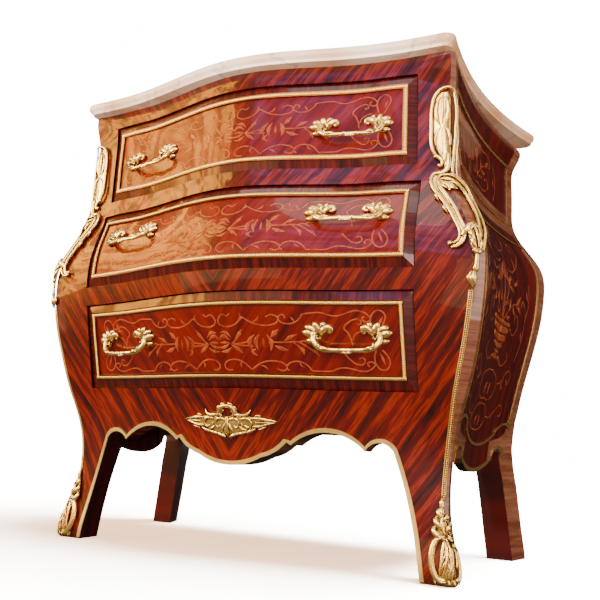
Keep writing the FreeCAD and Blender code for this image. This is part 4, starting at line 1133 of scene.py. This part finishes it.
# %% Corner beads
BEAD, BEAD_PITCH, BEAD_LIFT = (1.5, 1.5, 1.5), 3.4, 1.4
BEADS_FOOT, BEADS_HEAD = 122, 438
THIN_HALF, THIN_ASIDE, THIN_STEPS = 0.9, 2.6, 12
rise = BEADS_HEAD - BEADS_FOOT
heights = [BEADS_FOOT + rise * step / THIN_STEPS for step in range(THIN_STEPS + 1)]
edges = [[(u, v, THIN_HALF, THIN_HALF) for v in heights] for u in (-THIN_ASIDE, THIN_ASIDE)]
both = []
for hand, sign in HANDS:
    hit = corner_of(POSTS[hand], sign)
    row = row_places(hit, [(0, BEADS_FOOT), (0, BEADS_HEAD)], BEAD_PITCH, BEAD_LIFT)
    beads = beaded(hand + "_corner_beads", BEAD, row)
    fillets = lay(rolled(hand + "_corner_fillets", edges, STRAND_FLAT, 1, 3), hit, 5.0)
    both.append(joined(beads, fillets))
pair = joined(both[0], both[1])
pair.name = "corner_edge_beads"
settle(pair, TRIM, "carcass", "gilt_brass", "corner_beads")


# %% [markdown]
# ## Marquetry on the drawers
# Thin lines and leaves of a pale orange wood are let into the field: scrolls along the top and the
# bottom, loops in the corners and a garland of blossoms along the middle. They are the same
# strands as the mounts, pressed almost flat, so that they stand a fraction of a millimetre proud. The
# drawing is made once for the right half, in millimetres across and in half heights up.

# %% Draw the drawer marquetry
LINE = 1.3
SCROLLS = [
    [(26, 0.76), (20, 0.69), (12, 0.74), (5, 0.64), (3, 0.51), (10, 0.40), (22, 0.38), (36, 0.46),
     (48, 0.65)],
    [(48, 0.65), (64, 0.49), (82, 0.41), (98, 0.43), (108, 0.52), (109, 0.63), (102, 0.71), (94, 0.70),
     (89, 0.64)],
    [(121, 0.62), (119, 0.71), (113, 0.70), (110, 0.59), (116, 0.49), (126, 0.46), (137, 0.51),
     (145, 0.62), (150, 0.75)],
    [(150, 0.75), (164, 0.78), (180, 0.79), (191, 0.73), (201, 0.70), (213, 0.74), (225, 0.82), (237, 0.86),
     (247, 0.82), (254, 0.74), (258, 0.62), (253, 0.54), (247, 0.57), (245, 0.65), (249, 0.68)],
    [(227, -0.16), (225, 0.05), (221, 0.22), (215, 0.36), (222, 0.51), (231, 0.60), (239, 0.61),
     (243, 0.54), (240, 0.46), (236, 0.49)],
    [(228, 0.0), (231, 0.14), (238, 0.24), (248, 0.30)],
    [(262, 0.28), (259, 0.44), (258, 0.60), (261, 0.75), (269, 0.86), (277, 0.84), (282, 0.71),
     (280, 0.55), (275, 0.40), (270, 0.24)],
    [(264, -0.28), (261, -0.46), (263, -0.68), (270, -0.82), (279, -0.82), (285, -0.67), (283, -0.46),
     (274, -0.26)],
    [(213, -0.38), (222, -0.56), (234, -0.69), (243, -0.66), (245, -0.55), (240, -0.49), (236, -0.53)],
    [(262, -0.66), (254, -0.60), (249, -0.66), (252, -0.74)],
    [(158, -0.90), (176, -0.90), (190, -0.89), (201, -0.81), (213, -0.79), (226, -0.83), (239, -0.88),
     (251, -0.85), (260, -0.72), (262, -0.66)],
    [(158, -0.90), (150, -0.73), (139, -0.64), (128, -0.64), (119, -0.72), (116, -0.83), (120, -0.90)],
    [(100, -0.87), (110, -0.91), (116, -0.82), (112, -0.71), (101, -0.64), (84, -0.64), (68, -0.74),
     (55, -0.90)],
    [(20, -0.90), (10, -0.90), (5, -0.80), (8, -0.68), (17, -0.61), (29, -0.60), (42, -0.69), (55, -0.90)],
    [(22, -0.16), (34, 0.02), (43, 0.18)],
    [(25, -0.14), (42, -0.11), (58, -0.06)],
    [(25, -0.15), (44, -0.18), (62, -0.20)],
    [(98, -0.08), (118, -0.08), (140, -0.07), (152, -0.18), (164, -0.34)],
    [(140, -0.07), (150, -0.03), (160, -0.12)],
    [(132, -0.08), (140, -0.20), (145, -0.34)],
]
LEAVES = [
    [(40, 0.58, 0.3), (45, 0.66, 1.8), (44, 0.76, 0.3)],
    [(66, 0.50, 0.3), (74, 0.58, 1.8), (77, 0.68, 0.3)],
    [(136, 0.52, 0.3), (133, 0.60, 1.6), (130, 0.68, 0.3)],
    [(272, 0.42, 0.4), (274, 0.56, 2.2), (278, 0.68, 0.3)],
    [(270, -0.34, 0.4), (274, -0.52, 2.2), (278, -0.70, 0.3)],
    [(70, -0.75, 0.3), (78, -0.80, 1.8), (84, -0.88, 0.3)],
    [(138, -0.66, 0.3), (140, -0.74, 1.6), (146, -0.80, 0.3)],
    [(40, -0.66, 0.3), (36, -0.74, 1.8), (38, -0.84, 0.3)],
    [(30, 0.0, 0.6), (38, 0.14, 2.6), (45, 0.30, 0.4)],
    [(24, -0.18, 0.8), (33, -0.28, 3.6), (42, -0.40, 0.5)],
    [(60, -0.30, 0.6), (56, -0.08, 4.2), (66, 0.14, 0.6)],
    [(70, -0.32, 0.6), (68, -0.06, 3.6), (74, 0.14, 0.6)],
    [(81, -0.24, 0.5), (81, -0.10, 2.2), (81, 0.04, 0.5)],
    [(92, -0.34, 0.6), (94, -0.08, 4.2), (88, 0.14, 0.6)],
    [(94, 0.06, 0.8), (101, 0.18, 4.2), (108, 0.30, 0.6)],
    [(100, -0.18, 0.8), (110, -0.27, 4.2), (122, -0.30, 0.6)],
    [(66, -0.28, 0.8), (60, -0.36, 3.0), (68, -0.48, 0.5)],
    [(116, -0.06, 0.6), (126, 0.06, 3.6), (138, 0.16, 0.4)],
    [(140, -0.20, 0.5), (146, -0.30, 2.6), (147, -0.44, 0.4)],
    [(158, -0.26, 0.5), (166, -0.34, 3.0), (172, -0.46, 0.5)],
    [(152, -0.04, 0.5), (160, 0.02, 2.6), (170, 0.0, 0.4)],
    [(0, -0.02, 1.2), (9, 0.10, 3.2), (21, -0.02, 0.5)],
    [(0, -0.24, 1.2), (9, -0.24, 3.0), (20, -0.10, 0.5)],
    [(2, -0.10, 1.2), (10, -0.10, 2.4), (18, -0.08, 0.5)],
    [(4, 0.20, 0.8), (14, 0.20, 3.2), (24, 0.06, 0.5)],
    [(2, -0.36, 0.8), (12, -0.36, 3.0), (22, -0.24, 0.5)],
]
print("drawn scrolls and leaves:", len(SCROLLS), len(LEAVES))


# %% [markdown]
# ## Inlay wood
# Inlay is a lacquered wood of two tones. The strokes are fitted to a field, mirrored about its
# middle and laid on the veneer, so that one drawing serves fields of different sizes.

# %% Lay the drawer marquetry
def inlay_finish(name, pale, deep):
    """Lacquered wood of two tones."""
    finish, tree, shader = start_finish(name)
    x, y, z = place(tree)
    tone = grain(tree, sums(tree, "ADD", x, y), z, [(0.38, *deep), (0.56, *pale)], 60, 700)
    lacquered(tree, shader, tone)
    return finish


INLAY = inlay_finish("orange_inlay", (232, 124, 62), (178, 72, 28))
PRESSED, PROUD = 0.05, 0.04
FIELD_EDGE, DRAWN_HALF = 8, 303.5


def fitted(lines, leaves, across=0, spread=1, up=0, rise=1):
    """Thin lines and leaves in the field's own millimetres, mirrored about its middle."""
    strokes = [[(u, v, LINE) for u, v in line] for line in lines] + leaves
    drawn = [[(across + u * spread, up + v * rise, half, PROUD) for u, v, half in line] for line in strokes]
    return mirrored(drawn, across)


def pressed(name, lines, hit):
    """Nearly flat strands on the wood."""
    return lay(rolled(name, lines, PRESSED, 1, 5), hit, 5.0)


for name in DRAWERS:
    low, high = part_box(name + "_frame")
    middle = (low.z + high.z) / 2 / MM
    rise = (high.z - low.z) / 2 / MM - FIELD_EDGE
    spread = (high.x / MM - FIELD_EDGE) / DRAWN_HALF
    lines = fitted(SCROLLS, LEAVES, 0, spread, middle, rise)
    inlay = pressed(name + "_marquetry", lines, front_of(skin([name + "_front"])))
    settle(inlay, INLAY, name, "veneer")


# %% [markdown]
# ## Marquetry on the sides
# Each side has a lower field with an urn of flowers over two oval scrolls, and an upper field with a
# smaller spray. The woods are darker there. One half is drawn from the field's middle line, in
# millimetres along Y and in heights, then mirrored and laid on both sides of the chest.

# %% Side marquetry
SIDE_LINES = [
    [(62, 424), (84, 416), (100, 424), (104, 442), (92, 454), (80, 446), (86, 436)],
    [(4, 432), (10, 460), (26, 486), (30, 504)],
    [(8, 432), (34, 452), (62, 470), (88, 474)],
    [(2, 432), (2, 470), (0, 512)],
    [(30, 504), (48, 516), (66, 508)],
    [(10, 542), (40, 530), (76, 540), (104, 562), (118, 588), (104, 600), (90, 590), (98, 578)],
    [(0, 560), (26, 566), (50, 582), (62, 600)],
    [(0, 342), (30, 338), (52, 326), (56, 312), (46, 298), (22, 290), (0, 292)],
    [(0, 282), (26, 280), (42, 268), (44, 252), (30, 240), (0, 236)],
    [(62, 322), (86, 330), (104, 348), (124, 352), (134, 340), (126, 328), (114, 334)],
    [(50, 262), (74, 262), (96, 276), (118, 288), (134, 280), (132, 268), (120, 268)],
    [(24, 368), (44, 356), (66, 358), (80, 370), (72, 382)],
    [(132, 372), (144, 410), (142, 450), (130, 480), (116, 486), (112, 474)],
    [(142, 450), (152, 490), (148, 526)],
]
SIDE_LEAVES = [
    [(0, 428, 4), (28, 428, 4), (58, 430, 3.6)],
    [(0, 415, 7.5), (24, 415.5, 7.2), (50, 418, 5)],
    [(0, 399, 7.5), (22, 400, 7), (42, 403, 4.6)],
    [(0, 385, 5.4), (14, 386, 5), (28, 389, 3.4)],
    [(0, 375, 3.6), (6, 375, 3.2), (12, 376, 2)],
    [(0, 365, 4.4), (14, 365, 4), (26, 364, 2.6)],
    [(26, 498, 1), (34, 508, 6), (42, 522, 0.8)],
    [(24, 500, 1), (20, 512, 5), (22, 526, 0.8)],
    [(34, 498, 1), (48, 498, 5), (60, 492, 0.8)],
    [(80, 470, 1), (92, 480, 6), (104, 494, 0.8)],
    [(82, 468, 1), (98, 468, 5), (112, 460, 0.8)],
    [(0, 506, 1), (8, 520, 6), (2, 538, 0.8)],
    [(20, 446, 0.8), (34, 440, 4), (48, 446, 0.6)],
    [(36, 454, 0.8), (44, 464, 4.5), (44, 478, 0.6)],
    [(12, 464, 0.8), (22, 466, 4), (32, 474, 0.6)],
    [(62, 470, 0.8), (68, 458, 4.5), (80, 454, 0.6)],
    [(66, 508, 0.8), (76, 512, 4), (84, 522, 0.6)],
    [(6, 320, 0.8), (14, 310, 4.5), (10, 298, 0.6)],
    [(6, 262, 0.8), (12, 254, 4), (8, 244, 0.6)],
    [(86, 330, 0.6), (92, 320, 3), (102, 316, 0.5)],
    [(144, 410, 0.6), (136, 420, 3.4), (132, 432, 0.5)],
    [(150, 490, 0.6), (142, 500, 3.4), (138, 514, 0.5)],
    [(76, 540, 0.6), (80, 552, 3.4), (76, 564, 0.5)],
]
UPPER_LINES = [
    [(0, 704), (30, 700), (58, 708), (70, 722), (58, 732), (46, 724)],
    [(0, 716), (4, 738), (2, 762)],
    [(4, 724), (24, 740), (44, 754), (62, 756)],
    [(18, 792), (40, 784), (66, 786), (84, 776), (80, 762), (68, 766)],
    [(100, 700), (112, 724), (112, 756), (100, 778)],
]
UPPER_LEAVES = [
    [(0, 752, 1), (6, 764, 5), (0, 780, 0.8)],
    [(20, 736, 0.8), (28, 748, 4.5), (26, 762, 0.6)],
    [(28, 742, 0.8), (42, 738, 4.5), (54, 742, 0.6)],
    [(54, 754, 0.8), (64, 764, 5), (74, 772, 0.6)],
    [(8, 722, 0.8), (20, 722, 4), (32, 728, 0.6)],
    [(110, 730, 0.6), (102, 738, 3), (100, 748, 0.5)],
]
DARK_INLAY = inlay_finish("brown_inlay", (196, 92, 34), (128, 44, 12))
LOWER_MIDDLE, UPPER_MIDDLE = 30, 50
drawn = fitted(SIDE_LINES, SIDE_LEAVES, LOWER_MIDDLE) + fitted(UPPER_LINES, UPPER_LEAVES, UPPER_MIDDLE)
for hand, sign in HANDS:
    wood = skin([hand + "_side_panel", "front_%s_post" % hand, "rear_%s_post" % hand])
    inlay = pressed(hand + "_side_marquetry", drawn, side_of(wood, sign))
    settle(inlay, DARK_INLAY, "carcass", "veneer")


# %% [markdown]
# ## Gold kept out of the warm light
# The orange key light would turn the gilding to copper, so its receiver list names every gilt piece
# as left out. The pieces keep their own two cream lamps.

# %% Flag the key light off the gilding
flagged = only_for("gilt_without_key", [key], trim_only.objects)
for entry in flagged.collection_objects:
    entry.light_linking.link_state = "EXCLUDE"


# %% [markdown]
# ## Box of the dressed chest
# The box of the dressed chest is printed, beside the CAD model's box printed after loading. The
# dressed chest has to stay inside the box of its CAD model.

# %% Print the dressed chest's box
low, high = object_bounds()
print("visual box:", [round(v, 3) for v in high - low])
